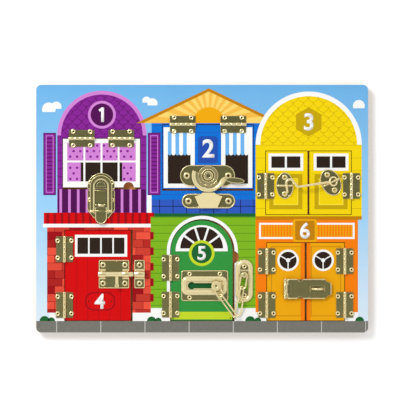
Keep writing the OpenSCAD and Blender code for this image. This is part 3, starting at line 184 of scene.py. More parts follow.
class Wiring:
    """Adds nodes to one shader tree and joins them up."""

    def __init__(self, tree: Tree) -> None:
        """Keep the tree that the nodes go into."""
        self.tree = tree

    def feed(self, node: Node, feeds: dict[str | int, Feed]) -> None:
        """Link a node's inputs to outputs, or set their own values.

        Args:
            node: The node.
            feeds: An output or a value for each input that isn't left as it is.
        """
        for key, value in feeds.items():
            if isinstance(value, Socket):
                self.tree.links.new(value, node.inputs[key])
            else:
                node.inputs[key].default_value = value

    def put(self, kind: str, feeds: dict[str | int, Feed] | None = None, **settings: object) -> Node:
        """Add one node.

        Args:
            kind: Blender's name of the node type.
            feeds: An output or a value for each input that isn't left as it is.
            settings: Attributes to set on the node.

        Returns:
            The new node.
        """
        new = self.tree.nodes.new(kind)
        for name, value in settings.items():
            setattr(new, name, value)
        self.feed(new, feeds or {})
        return new

    def math(self, operation: str, *values: Feed) -> Socket:
        """Add a Math node and return its result."""
        return self.put("ShaderNodeMath", dict(enumerate(values)), operation=operation).outputs[0]

    add = partialmethod(math, "ADD")
    sub = partialmethod(math, "SUBTRACT")
    mul = partialmethod(math, "MULTIPLY")
    div = partialmethod(math, "DIVIDE")
    least = partialmethod(math, "MINIMUM")
    most = partialmethod(math, "MAXIMUM")
    above = partialmethod(math, "GREATER_THAN")
    below = partialmethod(math, "LESS_THAN")

    def length(self, x: Socket, y: Socket) -> Socket:
        """Return the length of a vector in the plane."""
        return self.math("SQRT", self.add(self.mul(x, x), self.mul(y, y)))

    def scaled(self, vector: Socket, factors: tuple[float, float, float]) -> Socket:
        """Multiply a vector by three factors."""
        feeds = {0: vector, 1: factors}
        return self.put("ShaderNodeVectorMath", feeds, operation="MULTIPLY").outputs[0]

    def split(self, vector: Socket) -> Sockets:
        """Take a vector apart."""
        return self.put("ShaderNodeSeparateXYZ", {0: vector}).outputs

    def grey(self, value: Socket) -> Socket:
        """Turn a value into a grey."""
        return self.put("ShaderNodeCombineXYZ", {0: value, 1: value, 2: value}).outputs[0]

    def mix(self, factor: Feed, a: Feed, b: Feed, blend: str = "MIX") -> Socket:
        """Mix two colours."""
        feeds = {0: factor, 6: a, 7: b}
        return self.put("ShaderNodeMix", feeds, data_type="RGBA", blend_type=blend).outputs[2]

    def mix_values(self, factor: Feed, a: Feed, b: Feed) -> Socket:
        """Mix two values."""
        return self.put("ShaderNodeMix", {0: factor, 2: a, 3: b}, data_type="FLOAT").outputs[0]

    def noise(self, vector: Socket, scale: float, detail: float = 3.0) -> Socket:
        """Add a Noise Texture and return its value."""
        feeds = {"Vector": vector, "Scale": scale, "Detail": detail}
        return self.put("ShaderNodeTexNoise", feeds).outputs[0]

    def spread(self, value: Socket, low: Feed, high: Feed, start: float = 0.0, end: float = 1.0) -> Socket:
        """Spread a value from start..end over low..high."""
        feeds = {"Value": value, "From Min": start, "From Max": end, "To Min": low, "To Max": high}
        return self.put("ShaderNodeMapRange", feeds).outputs[0]

    def ramp(self, value: Socket, *stops: tuple[float, Tint]) -> Socket:
        """Colour a value.

        Args:
            value: The value, from 0 to 1.
            stops: Places along it, with their colours.

        Returns:
            The colour.
        """
        new = self.put("ShaderNodeValToRGB", {0: value})
        elements = new.color_ramp.elements
        while len(elements) < len(stops):
            elements.new(0.5)
        for element, (at, tint) in zip(elements, stops):
            element.position = at
            element.color = tint.linear()
        return new.outputs[0]

    def call(self, group: Tree, **values: Feed) -> Sockets:
        """Place a node group and return its outputs."""
        return self.put("ShaderNodeGroup", values, node_tree=group).outputs


# Kinds of the group sockets that aren't plain values
SOCKET_KINDS = {"Point": "Vector", "Colour": "Color", "Stain": "Color"}


def shared(name: str, inputs: tuple[str, ...], outputs: tuple[str, ...]) -> Callable:
    """Let a method of GroupShop that wires up a shader group return that group, made once.

    Args:
        name: The group's name.
        inputs: Names of its inputs.
        outputs: Names of its outputs, in the order in which the method returns what feeds them.

    Returns:
        The decorator.
    """

    def decorate(wire: Callable) -> Callable:
        """Wrap a method that takes the group's wiring and its inputs.

        Args:
            wire: The method that wires up the group.

        Returns:
            A method that returns the group.
        """

        @wraps(wire)
        def group(shop: "GroupShop") -> Tree:
            """Return the group, wired up on the first call.

            Args:
                shop: The shop that keeps the groups.

            Returns:
                The group.
            """
            if name not in shop.made:
                tree = bpy.data.node_groups.new(name, "ShaderNodeTree")
                for way, labels in (("INPUT", inputs), ("OUTPUT", outputs)):
                    for label in labels:
                        kind = "NodeSocket" + SOCKET_KINDS.get(label, "Float")
                        tree.interface.new_socket(name=label, in_out=way, socket_type=kind)
                w = Wiring(tree)
                results = wire(shop, w, w.put("NodeGroupInput").outputs)
                w.put("NodeGroupOutput", dict(zip(outputs, results)))
                shop.made[name] = tree
            return shop.made[name]

        return group

    return decorate


@dataclass
class GroupShop:
    """The shader groups that the materials share.

    Each method takes the wiring of its group and the outputs of the group's input node, and
    returns what feeds the group's outputs. Its decorator makes it return the group instead.
    """

    made: dict[str, Tree] = field(default_factory=dict)

    @shared("rect_mask", ("Point", "Left", "Right", "Low", "High"), ("Mask",))
    def rect(self, w: Wiring, given: Sockets) -> list[Socket]:
        """Mask of a rectangle that is square to the board.

        Args:
            w: The group's wiring.
            given: The group's inputs.

        Returns:
            What feeds the group's outputs.
        """
        x, y, _ = w.split(given["Point"])
        across = w.mul(w.above(x, given["Left"]), w.below(x, given["Right"]))
        along = w.mul(w.above(y, given["Low"]), w.below(y, given["High"]))
        return [w.mul(across, along)]

    @shared("disc_mask", ("Point", "X", "Y", "Radius"), ("Mask",))
    def disc(self, w: Wiring, given: Sockets) -> list[Socket]:
        """Mask of a disc.

        Args:
            w: The group's wiring.
            given: The group's inputs.

        Returns:
            What feeds the group's outputs.
        """
        x, y, _ = w.split(given["Point"])
        far = w.length(w.sub(x, given["X"]), w.sub(y, given["Y"]))
        return [w.below(far, given["Radius"])]

    @shared("bar_mask", ("Value", "Pitch", "Width"), ("Mask",))
    def bars(self, w: Wiring, given: Sockets) -> list[Socket]:
        """Mask of evenly spaced lines along one value.

        Args:
            w: The group's wiring.
            given: The group's inputs.

        Returns:
            What feeds the group's outputs.
        """
        turn = w.math("FRACT", w.div(given["Value"], given["Pitch"]))
        return [w.below(turn, w.div(given["Width"], given["Pitch"]))]

    @shared("scallop_mask", ("Point", "Pitch", "Line"), ("Mask",))
    def scallops(self, w: Wiring, given: Sockets) -> list[Socket]:
        """Mask of the lower edges of round shingles, whose rows are half a pitch high.

        Args:
            w: The group's wiring.
            given: The group's inputs.

        Returns:
            What feeds the group's outputs.
        """
        x, y, _ = w.split(given["Point"])
        row_at = w.div(y, w.mul(given["Pitch"], 0.5))
        shift = w.mul(w.math("FLOORED_MODULO", w.math("FLOOR", row_at), 2.0), 0.5)
        across = w.sub(w.math("FRACT", w.add(w.div(x, given["Pitch"]), shift)), 0.5)
        down = w.sub(w.sub(w.math("FRACT", row_at), 0.5), 0.5)
        shingle_radius = 0.47
        rim = w.math("ABSOLUTE", w.sub(w.length(across, w.mul(down, 0.5)), shingle_radius))
        return [w.below(rim, w.div(given["Line"], given["Pitch"]))]

    @shared("print_coat", ("Point", "Colour"), ("Colour", "Roughness", "Height"))
    def print_coat(self, w: Wiring, given: Sockets) -> list[Socket]:
        """Printed colour under satin varnish: a hint of the wood's grain in tone, gloss and height.

        Args:
            w: The group's wiring.
            given: The group's inputs.

        Returns:
            What feeds the group's outputs.
        """
        point = given["Point"]
        grain = w.noise(w.scaled(point, (0.05, 1.1, 0.4)), 1.0, 4.0)
        cloud = w.noise(point, 0.035, 2.0)
        speck = w.noise(point, 3.2, 2.0)
        tone = w.add(w.spread(grain, 0.965, 1.02), w.spread(cloud, -0.03, 0.03))
        colour = w.mix(1.0, given["Colour"], w.grey(tone), "MULTIPLY")
        height = w.math("MULTIPLY_ADD", grain, 0.7, w.mul(speck, 0.3))
        return [colour, w.spread(speck, 0.3, 0.46), height]

    @shared("plywood", ("Point",), ("Colour", "Height"))
    def plywood(self, w: Wiring, given: Sockets) -> list[Socket]:
        """Bare plywood: five veneers in the edge, long grain on the faces.

        Args:
            w: The group's wiring.
            given: The group's inputs.

        Returns:
            What feeds the group's outputs.
        """
        point = given["Point"]
        wander = w.noise(w.scaled(point, (0.05, 0.05, 0.2)), 1.0, 2.0)
        level = w.math("MULTIPLY_ADD", wander, 0.5, w.split(point)[2])
        veneer = w.call(self.bars(), Value=level, Pitch=3.0, Width=1.4)["Mask"]
        grain = w.noise(w.scaled(point, (0.03, 0.9, 1.5)), 1.6, 5.0)
        pores = w.noise(w.scaled(point, (0.12, 3.5, 3.5)), 1.4, 3.0)
        body = w.ramp(
            grain, (0.25, Tint(176, 128, 78)), (0.55, Tint(206, 162, 108)), (0.8, Tint(222, 184, 132))
        )
        dark = w.mix(w.mul(veneer, 0.5), body, Tint(128, 82, 44).linear())
        flecks = w.mul(w.above(pores, 0.6), 0.35)
        colour = w.mix(flecks, dark, Tint(112, 70, 38).linear())
        return [colour, w.math("MULTIPLY_ADD", pores, 0.5, grain)]

    @shared("metal_skin", ("Point", "Colour", "Stain", "Amount", "Smooth", "Rough"),
            ("Colour", "Roughness", "Height"))
    def metal_skin(self, w: Wiring, given: Sockets) -> list[Socket]:
        """Rolled metal: fine drawn lines, soft stains, and a different gloss where it is stained.

        Args:
            w: The group's wiring.
            given: The group's inputs.

        Returns:
            What feeds the group's outputs.
        """
        point = given["Point"]
        drawn = w.noise(w.scaled(point, (0.5, 5.0, 2.0)), 1.0, 3.0)
        stain = w.noise(point, 0.12, 4.0)
        speck = w.noise(point, 2.6, 2.0)
        worn = w.mul(w.math("SMOOTH_MIN", stain, drawn, 0.3), given["Amount"])
        colour = w.mix(worn, given["Colour"], given["Stain"])
        gloss = w.spread(speck, given["Smooth"], given["Rough"])
        return [colour, gloss, w.math("MULTIPLY_ADD", drawn, 0.6, w.mul(speck, 0.4))]

    @shared("outline_depth", ("Point", "X", "Y", "Turn", "Half Width", "Half Height", "Corner", "Cut X",
                              "Cut Y", "Cut At"), ("Depth",))
    def outline(self, w: Wiring, given: Sockets) -> list[Socket]:
        """Depth inside a turned rectangle with round corners, less what a pair of cuts takes off.

        Args:
            w: The group's wiring.
            given: The group's inputs.

        Returns:
            What feeds the group's outputs.
        """
        u, v = self._turned(w, given)
        u = w.math("ABSOLUTE", u)
        corner = given["Corner"]
        past_x = w.sub(u, w.sub(given["Half Width"], corner))
        past_y = w.sub(w.math("ABSOLUTE", v), w.sub(given["Half Height"], corner))
        outside = w.length(w.most(past_x, 0.0), w.most(past_y, 0.0))
        inside = w.least(w.most(past_x, past_y), 0.0)
        depth = w.sub(corner, w.add(outside, inside))
        reach = w.add(w.mul(u, given["Cut X"]), w.mul(v, given["Cut Y"]))
        return [w.least(depth, w.sub(given["Cut At"], reach))]

    @shared("oval_depth", ("Point", "X", "Y", "Turn", "Half Width", "Half Height"), ("Depth",))
    def oval(self, w: Wiring, given: Sockets) -> list[Socket]:
        """Depth inside a turned oval.

        Args:
            w: The group's wiring.
            given: The group's inputs.

        Returns:
            What feeds the group's outputs.
        """
        u, v = self._turned(w, given)
        wide, high = given["Half Width"], given["Half Height"]
        share_x, share_y = w.div(u, wide), w.div(v, high)
        share = w.length(share_x, share_y)
        slope = w.length(w.div(share_x, wide), w.div(share_y, high))
        return [w.div(w.mul(share, w.sub(1.0, share)), slope)]

    @staticmethod
    def _turned(w: Wiring, given: Sockets) -> tuple[Socket, Socket]:
        """Measure from an outline's middle along its own axes.

        Args:
            w: The group's wiring.
            given: The group's inputs, with Point, X, Y and Turn.

        Returns:
            The point's place along both axes.
        """
        x, y, _ = w.split(given["Point"])
        dx, dy = w.sub(x, given["X"]), w.sub(y, given["Y"])
        cos, sin = w.math("COSINE", given["Turn"]), w.math("SINE", given["Turn"])
        return w.add(w.mul(dx, cos), w.mul(dy, sin)), w.sub(w.mul(dy, cos), w.mul(dx, sin))

    @shared("rolled_rim", ("Point", "Depth", "Width", "Ridges", "Swell", "Low", "High"),
            ("Mask", "Height", "Groove"))
    def rolled_rim(self, w: Wiring, given: Sockets) -> list[Socket]:
        """A rounded band inside an outline, with a band of painted shade along its inner side.

        Args:
            w: The group's wiring.
            given: The group's inputs.

        Returns:
            What feeds the group's outputs.
        """
        z = w.split(given["Point"])[2]
        level = w.mul(w.above(z, given["Low"]), w.below(z, given["High"]))
        across = w.div(given["Depth"], given["Width"])
        band = w.mul(level, w.below(across, 1.0))
        held = w.least(w.most(across, 0.0), 1.0)
        wave = w.math("SINE", w.mul(w.mul(held, given["Ridges"]), math.pi))
        bulge = w.mul(w.math("ABSOLUTE", wave), given["Swell"])
        # Painted shade: darkens a band just inside the rim, fading over its width
        past = w.sub(given["Depth"], given["Width"])
        painted_shade_width = 0.9
        fade = w.most(w.sub(1.0, w.div(past, painted_shade_width)), 0.0)
        painted_shade = w.mul(fade, w.above(past, 0.0))
        return [band, w.mul(bulge, band), w.mul(painted_shade, level)]


GROUPS = GroupShop()


# ---- Finishes ----


class Coat:
    """One material with a Principled shader, a point in millimetres and a bump."""

    def __init__(self, name: str) -> None:
        """Make a material with its shader and its coordinates.

        Args:
            name: The material's name.
        """
        self.material = bpy.data.materials.new(name)
        self.material.use_nodes = True
        self.material.node_tree.nodes.clear()
        self.wires = Wiring(self.material.node_tree)
        self.shader = self.wires.put("ShaderNodeBsdfPrincipled")
        self.wires.put("ShaderNodeOutputMaterial", {"Surface": self.shader.outputs[0]})
        here = self.wires.put("ShaderNodeTexCoord").outputs["Object"]
        self.point = self.wires.scaled(here, (1 / MM, 1 / MM, 1 / MM))

    def set(self, feeds: dict[str, Feed]) -> None:
        """Feed the shader's sockets."""
        self.wires.feed(self.shader, feeds)

    def bump(self, height: Socket, strength: float, distance: float) -> None:
        """Roughen the surface by a height."""
        feeds = {"Strength": strength, "Distance": distance * MM, "Height": height}
        self.set({"Normal": self.wires.put("ShaderNodeBump", feeds).outputs[0]})


@dataclass(frozen=True)
class Varnish:
    """Satin varnish over the print."""

    gloss: float = 0.1
    weight: float = 0.05
    roughness: float = 0.14


VARNISH = Varnish()


class Finish:
    """A material that is made when it is first asked for."""

    def title(self) -> str:
        """Return the material's name."""
        raise NotImplementedError

    def paint(self, coat: Coat) -> None:
        """Wire up the material."""
        raise NotImplementedError

    def material(self) -> Material:
        """Return the material.

        Returns:
            The material, the same one at each call.
        """
        if self.title() not in bpy.data.materials:
            self.paint(Coat(self.title()))
        return bpy.data.materials[self.title()]


@dataclass(frozen=True)
class InkFinish(Finish):
    """A flat printed ink under satin varnish."""

    ink: Ink

    def title(self) -> str:
        """Return the ink's name."""
        return "ink_" + self.ink.name.lower()

    def paint(self, coat: Coat) -> None:
        """Lay the ink and its varnish.

        Args:
            coat: The empty material.
        """
        skin = coat.wires.call(GROUPS.print_coat(), Point=coat.point, Colour=self.ink.linear())
        coat.set({
            "Base Color": skin["Colour"], "Roughness": skin["Roughness"],
            "Specular IOR Level": VARNISH.gloss, "Coat Weight": VARNISH.weight,
            "Coat Roughness": VARNISH.roughness,
        })
        coat.bump(skin["Height"], 0.12, 0.06)


@dataclass(frozen=True)
class MetalSkin:
    """Colour, stains and gloss of a metal."""

    tint: Tint
    stain: Tint
    amount: float
    smooth: float
    rough: float

    def lay(self, coat: Coat) -> Sockets:
        """Place the skin in a material.

        Args:
            coat: The material.

        Returns:
            Its colour, roughness and height.
        """
        return coat.wires.call(
            GROUPS.metal_skin(), Point=coat.point, Colour=self.tint.linear(), Stain=self.stain.linear(),
            Amount=self.amount, Smooth=self.smooth, Rough=self.rough,
        )


@dataclass(frozen=True)
class BrassFinish(Finish):
    """Polished or brushed brass, the same all over a piece."""

    name: str
    skin: MetalSkin
    # Less than fully metallic, so part of the pale brass colour shows as diffuse colour from every side:
    # painted sheen
    metal: float = 0.7

    def title(self) -> str:
        """Return the finish's name."""
        return self.name

    def paint(self, coat: Coat) -> None:
        """Lay the metal.

        Args:
            coat: The empty material.
        """
        skin = self.skin.lay(coat)
        coat.set({"Base Color": skin["Colour"], "Metallic": self.metal, "Roughness": skin["Roughness"]})
        coat.bump(skin["Height"], 0.18, 0.03)


class Brass(Enum):
    """The finishes of the plain hardware."""

    # Polished brass on the broken edges, made pale partly as a painted highlight
    EDGE = BrassFinish(
        "edge_brass", MetalSkin(Tint(244, 232, 186), Tint(220, 200, 140), 0.4, 0.24, 0.34)
    )
    BRIGHT = BrassFinish(
        "drawn_brass", MetalSkin(Tint(248, 234, 184), Tint(222, 200, 136), 0.4, 0.14, 0.22)
    )


OLIVE = MetalSkin(Tint(158, 155, 106), Tint(104, 96, 62), 0.75, 0.22, 0.34)
POLISHED = MetalSkin(Tint(242, 228, 176), Tint(216, 194, 130), 0.4, 0.16, 0.26)
# Colour of the painted shade along the inner side of the rims
PAINTED_SHADE_TINT = Tint(52, 48, 26)


@dataclass(frozen=True)
class Outline:
    """A closed line in plan: a turned rectangle with round corners, or an oval.

    A cut leaves what lies within a distance from the middle along a direction, on both sides alike.
    """

    x: float
    y: float
    half_width: float
    half_height: float
    corner: float = 0.0
    turn: float = 0.0
    oval: bool = False
    cut: tuple[float, float, float] = (0.0, 0.0, 100.0)

    @staticmethod
    def disc(x: float, y: float, radius: float, **more: object) -> "Outline":
        """Return a disc's outline."""
        return Outline(x, y, radius, radius, radius, **more)

    @staticmethod
    def plate(node: str, corner: float = 0.0, margin: float = 0.0, **more: object) -> "Outline":
        """Take an outline from a CAD node's box.

        Args:
            node: The node's name.
            corner: Radius of its corners.
            margin: How far the outline lies inside the box.
            more: The outline's other fields.

        Returns:
            The outline.
        """
        box = Box.of(node).inside(margin)
        return Outline(*box.middle, *box.half, corner, **more)

    def depth(self, coat: Coat) -> Socket:
        """Measure how far a coat's point lies inside the line.

        Args:
            coat: The material.

        Returns:
            The depth, below zero outside the line.
        """
        place = {"Point": coat.point, "X": self.x, "Y": self.y, "Turn": math.radians(self.turn),
                 "Half Width": self.half_width, "Half Height": self.half_height}
        if self.oval:
            return coat.wires.call(GROUPS.oval(), **place)["Depth"]
        cut = dict(zip(("Cut X", "Cut Y", "Cut At"), self.cut))
        return coat.wires.call(GROUPS.outline(), Corner=self.corner, **place, **cut)["Depth"]


@dataclass(frozen=True)
class Rim:
    """A polished, rounded band that runs inside an outline, between two heights."""

    line: Outline
    width: float = 1.1
    low: float = PLATE_Z - 0.1
    high: float = PLATE_Z + 0.2
    swell: float = 0.3


@dataclass(frozen=True)
class StampedBrass(Finish):
    """Olive sheet brass whose rims and raised parts are polished.

    The pads are outlines inside which, past a margin, raised parts stay olive.
    """

    name: str
    rims: tuple[Rim, ...] = ()
    polished_from: float = PLATE_Z + 0.2
    pads: tuple[tuple[Outline, float], ...] = ()
    # Metallic of the polished raised parts; below 1 their pale colour shows partly as diffuse colour, a
    # painted sheen
    raised_metal: float = 1.0

    def title(self) -> str:
        """Return the finish's name."""
        return self.name

    def paint(self, coat: Coat) -> None:
        """Mix the olive and the polished skin by height and by the rims, and darken along the rims' inner
        side as painted shade.

        Args:
            coat: The empty material.
        """
        w = coat.wires
        raised = polish = w.above(w.split(coat.point)[2], self.polished_from)
        height: Feed = 0.0
        painted_shade: Feed = 0.0
        for rim in self.rims:
            band = w.call(
                GROUPS.rolled_rim(), Point=coat.point, Depth=rim.line.depth(coat), Width=rim.width,
                Ridges=1.0, Swell=rim.swell, Low=rim.low, High=rim.high,
            )
            polish = w.most(polish, band["Mask"])
            height = w.add(height, band["Height"])
            painted_shade = w.most(painted_shade, band["Groove"])
        for line, margin in self.pads:
            polish = w.mul(polish, w.sub(1.0, w.above(line.depth(coat), margin)))
        skin, shine = OLIVE.lay(coat), POLISHED.lay(coat)
        colour = w.mix(polish, skin["Colour"], shine["Colour"])
        # The colour is darkened along each rim's inner side: painted shade
        coat.set({
            "Base Color": w.mix(w.mul(painted_shade, 0.7), colour, PAINTED_SHADE_TINT.linear()),
            "Roughness": w.mix_values(polish, skin["Roughness"], shine["Roughness"]),
            "Metallic": 1.0,
        })
        # Polished raised parts turn partly diffuse, so their pale colour reads bright from every side:
        # painted sheen
        if self.raised_metal < 1.0:
            painted_sheen = w.mul(w.mul(raised, polish), 1.0 - self.raised_metal)
            coat.set({"Metallic": w.sub(1.0, painted_sheen)})
        coat.bump(w.add(height, w.mul(skin["Height"], 0.005)), 1.0, 1.0)


# ---- Bench tools ----


class Bench:
    """Tools that make and shape meshes through Blender's operators."""

    @staticmethod
    def free() -> None:
        """Leave edit mode and let go of everything."""
        active = bpy.context.view_layer.objects.active
        if active is not None and active.mode != "OBJECT":
            bpy.ops.object.mode_set(mode="OBJECT")
        bpy.ops.object.select_all(action="DESELECT")

    @staticmethod
    def take(obj: Object) -> None:
        """Select one object alone.

        Args:
            obj: The object.
        """
        Bench.free()
        obj.select_set(True)
        bpy.context.view_layer.objects.active = obj

    @staticmethod
    def settle(obj: Object) -> None:
        """Put an object's place, turn and size into its mesh."""
        Bench.take(obj)
        bpy.ops.object.transform_apply(location=True, rotation=True, scale=True)

    @staticmethod
    def edit(obj: Object) -> None:
        """Open one object for editing with all of it selected.

        Args:
            obj: The object.
        """
        Bench.take(obj)
        bpy.ops.object.mode_set(mode="EDIT")
        bpy.ops.mesh.select_all(action="SELECT")

    @staticmethod
    def modify(obj: Object, kind: str, **settings: object) -> None:
        """Add a modifier and apply it.

        Args:
            obj: The object that is changed.
            kind: Blender's name of the modifier type.
            settings: The modifier's settings.
        """
        Bench.take(obj)
        modifier = obj.modifiers.new(kind.lower(), kind)
        for name, value in settings.items():
            setattr(modifier, name, value)
        bpy.ops.object.modifier_apply(modifier=modifier.name)

    @staticmethod
    def join(parts: list[Object], name: str) -> Object:
        """Join objects into one.

        Args:
            parts: The objects, of which the first keeps its origin.
            name: The name of the result.

        Returns:
            The joined object.
        """
        Bench.free()
        for part in parts:
            part.select_set(True)
        bpy.context.view_layer.objects.active = parts[0]
        bpy.ops.object.join()
        parts[0].name = name
        parts[0].data.name = name
        return parts[0]


class Half(Enum):
    """The half of a disc that is kept, as the direction up the board of what is cut off."""

    UPPER = -1
    LOWER = 1


@dataclass
class InkSheet:
    """Flat ink shapes on one door or on the board, layer on layer, joined into one piece."""

    name: str
    body: str
    shapes: list[Object] = field(default_factory=list)

    def _lay(self, obj: Object, x: float, y: float, ink: Ink, layer: int) -> None:
        """Put a flat shape that was drawn round the origin in its place.

        Args:
            obj: The shape.
            x: Its place across the board.
            y: Its place up the board.
            ink: Its colour.
            layer: Its layer, from the wood up.
        """
        obj.location = (x * MM, y * MM, (FACE_Z + layer * INK_LAYER) * MM)
        Bench.settle(obj)
        obj.data.materials.append(InkFinish(ink).material())
        self.shapes.append(obj)

    @staticmethod
    def _plane(width: float, height: float, x: float = 0.0) -> Object:
        """Make a rectangle.

        Args:
            width: Its size across the board.
            height: Its size up the board.
            x: How far its middle lies from the origin.

        Returns:
            The rectangle, with its size and its place in its mesh.
        """
        bpy.ops.mesh.primitive_plane_add(size=1, location=(x * MM, 0, 0))
        obj = bpy.context.object
        obj.scale = (width * MM, height * MM, 1)
        Bench.settle(obj)
        return obj

    def bar(self, box: Box, ink: Ink, layer: int, corner: float = 0.0) -> None:
        """Lay a rectangle.

        Args:
            box: Its place.
            ink: Its colour.
            layer: Its layer, from the wood up.
            corner: Radius of its corners.
        """
        obj = self._plane(box.right - box.left, box.high - box.low)
        if corner > 0:
            Bench.edit(obj)
            bpy.ops.mesh.bevel(offset=corner * MM, segments=6, affect="VERTICES")
        self._lay(obj, *box.middle, ink, layer)

    def border(self, box: Box, width: float, ink: Ink, layer: int) -> None:
        """Lay a rectangular border.

        Args:
            box: Its outer edge.
            width: The line's width.
            ink: Its colour.
            layer: Its layer, from the wood up.
        """
        obj = self._plane(box.right - box.left, box.high - box.low)
        Bench.edit(obj)
        bpy.ops.mesh.inset(thickness=width * MM, depth=0)
        bpy.ops.mesh.delete(type="FACE")
        self._lay(obj, *box.middle, ink, layer)

    def disc(self, x: float, y: float, radius: float, ink: Ink, layer: int, corners: int = 48,
             half: Half | None = None) -> None:
        """Lay a disc, half a disc or a regular polygon.

        Args:
            x: Place of its middle across the board.
            y: Place of its middle up the board.
            radius: Its radius.
            ink: Its colour.
            layer: Its layer, from the wood up.
            corners: Corners of its outline.
            half: The half that is kept, where it isn't whole.
        """
        bpy.ops.mesh.primitive_circle_add(vertices=corners, radius=radius * MM, fill_type="NGON")
        obj = bpy.context.object
        if half is not None:
            Bench.edit(obj)
            bpy.ops.mesh.bisect(plane_co=(0, 0, 0), plane_no=(0, half.value, 0), clear_outer=True)
        self._lay(obj, x, y, ink, layer)

    def spoke(self, x: float, y: float, span: tuple[float, float], width: float, angle: float, ink: Ink,
              layer: int) -> None:
        """Lay a bar that runs outwards from a point.

        Args:
            x: The point's place across the board.
            y: The point's place up the board.
            span: Where the bar starts and ends, from the point.
            width: Its width.
            angle: Its direction in degrees.
            ink: Its colour.
            layer: Its layer, from the wood up.
        """
        obj = self._plane(span[1] - span[0], width, (span[0] + span[1]) / 2)
        obj.rotation_euler = (0, 0, math.radians(angle))
        Bench.settle(obj)
        self._lay(obj, x, y, ink, layer)

    def numeral(self, digit: str, x: float, y: float, height: float, layer: int) -> None:
        """Lay a white number.

        Args:
            digit: The number.
            x: Place of its middle across the board.
            y: Place of its middle up the board.
            height: Its height.
            layer: Its layer, from the wood up.
        """
        size_of_height, swell_of_height = 1.38, 0.034
        bpy.ops.object.text_add()
        obj = bpy.context.object
        obj.data.body = digit
        obj.data.size = height * size_of_height * MM
        obj.data.offset = height * swell_of_height * MM
        obj.data.align_x = "CENTER"
        obj.data.align_y = "CENTER"
        Bench.take(obj)
        bpy.ops.object.convert(target="MESH")
        obj = bpy.context.object
        middle = sum((Vector(corner) for corner in obj.bound_box), Vector()) / 8
        obj.location = (-middle.x, -middle.y, 0)
        Bench.settle(obj)
        self._lay(obj, x, y, Ink.WHITE, layer)

    def finish(self) -> None:
        """Join the shapes, give them thickness and set them on their body."""
        sheet = Bench.join(self.shapes, self.name)
        Bench.edit(sheet)
        bpy.ops.mesh.normals_make_consistent(inside=False)
        Bench.modify(sheet, "SOLIDIFY", thickness=INK_THICKNESS * MM, offset=0.0)
        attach(sheet, self.body)
        LOG.info("%s: %d shapes on %s", self.name, len(self.shapes), self.body)


# ---- The print on the wood ----


class Artwork:
    """Lays flat colours over one another in a wood material, each through its mask."""

    def __init__(self, coat: Coat, ground: Feed) -> None:
        """Start from a ground colour.

        Args:
            coat: The material.
            ground: The colour under the first shape.
        """
        self.wires = coat.wires
        self.point = coat.point
        self.colour = ground

    def over(self, mask: Socket, colour: Ink | Socket) -> None:
        """Lay a colour where the mask is 1."""
        value = colour.linear() if isinstance(colour, Ink) else colour
        self.colour = self.wires.mix(mask, self.colour, value)

    def lined(self, shape: Socket, ink: Ink, lines: Socket, line_ink: Ink) -> None:
        """Lay an ink over a shape, and lines of another ink over both."""
        self.over(shape, ink)
        self.over(self.both(shape, lines), line_ink)

    def rect(self, box: Box) -> Socket:
        """Mask a rectangle."""
        sides = {"Left": box.left, "Right": box.right, "Low": box.low, "High": box.high}
        return self.wires.call(GROUPS.rect(), Point=self.point, **sides)[0]

    def disc(self, x: float, y: float, radius: float) -> Socket:
        """Mask a disc."""
        return self.wires.call(GROUPS.disc(), Point=self.point, X=x, Y=y, Radius=radius)[0]

    def bars(self, value: Socket, pitch: float, width: float) -> Socket:
        """Mask evenly spaced lines along a value."""
        return self.wires.call(GROUPS.bars(), Value=value, Pitch=pitch, Width=width)[0]

    def rows(self, pitch: float, width: float, shift: float = 0.0) -> Socket:
        """Mask level lines."""
        return self.bars(self.wires.add(self.wires.split(self.point)[1], shift), pitch, width)

    def columns(self, pitch: float, width: float, shift: float = 0.0) -> Socket:
        """Mask upright lines."""
        return self.bars(self.wires.add(self.wires.split(self.point)[0], shift), pitch, width)

    def scallops(self, pitch: float, line: float) -> Socket:
        """Mask the edges of round shingles."""
        return self.wires.call(GROUPS.scallops(), Point=self.point, Pitch=pitch, Line=line)[0]

    def both(self, a: Socket, b: Socket) -> Socket:
        """Return where both masks are 1."""
        return self.wires.mul(a, b)

    def either(self, a: Socket, b: Socket) -> Socket:
        """Return where one of two masks is 1."""
        return self.wires.most(a, b)

    def bricks(self, width: float, height: float) -> Socket:
        """Colour staggered bricks.

        Args:
            width: A brick's width.
            height: A course's height.

        Returns:
            The colour: reds with narrow dark joints.
        """
        return self.wires.put("ShaderNodeTexBrick", {
            "Vector": self.point, "Scale": 1.0, "Brick Width": width, "Row Height": height,
            "Mortar Size": 0.3, "Mortar Smooth": 0.2, "Bias": -0.1, "Color1": Ink.RED_DEEP.linear(),
            "Color2": Ink.RED_PALE.linear(), "Mortar": Ink.MORTAR.linear(),
        }).outputs["Color"]


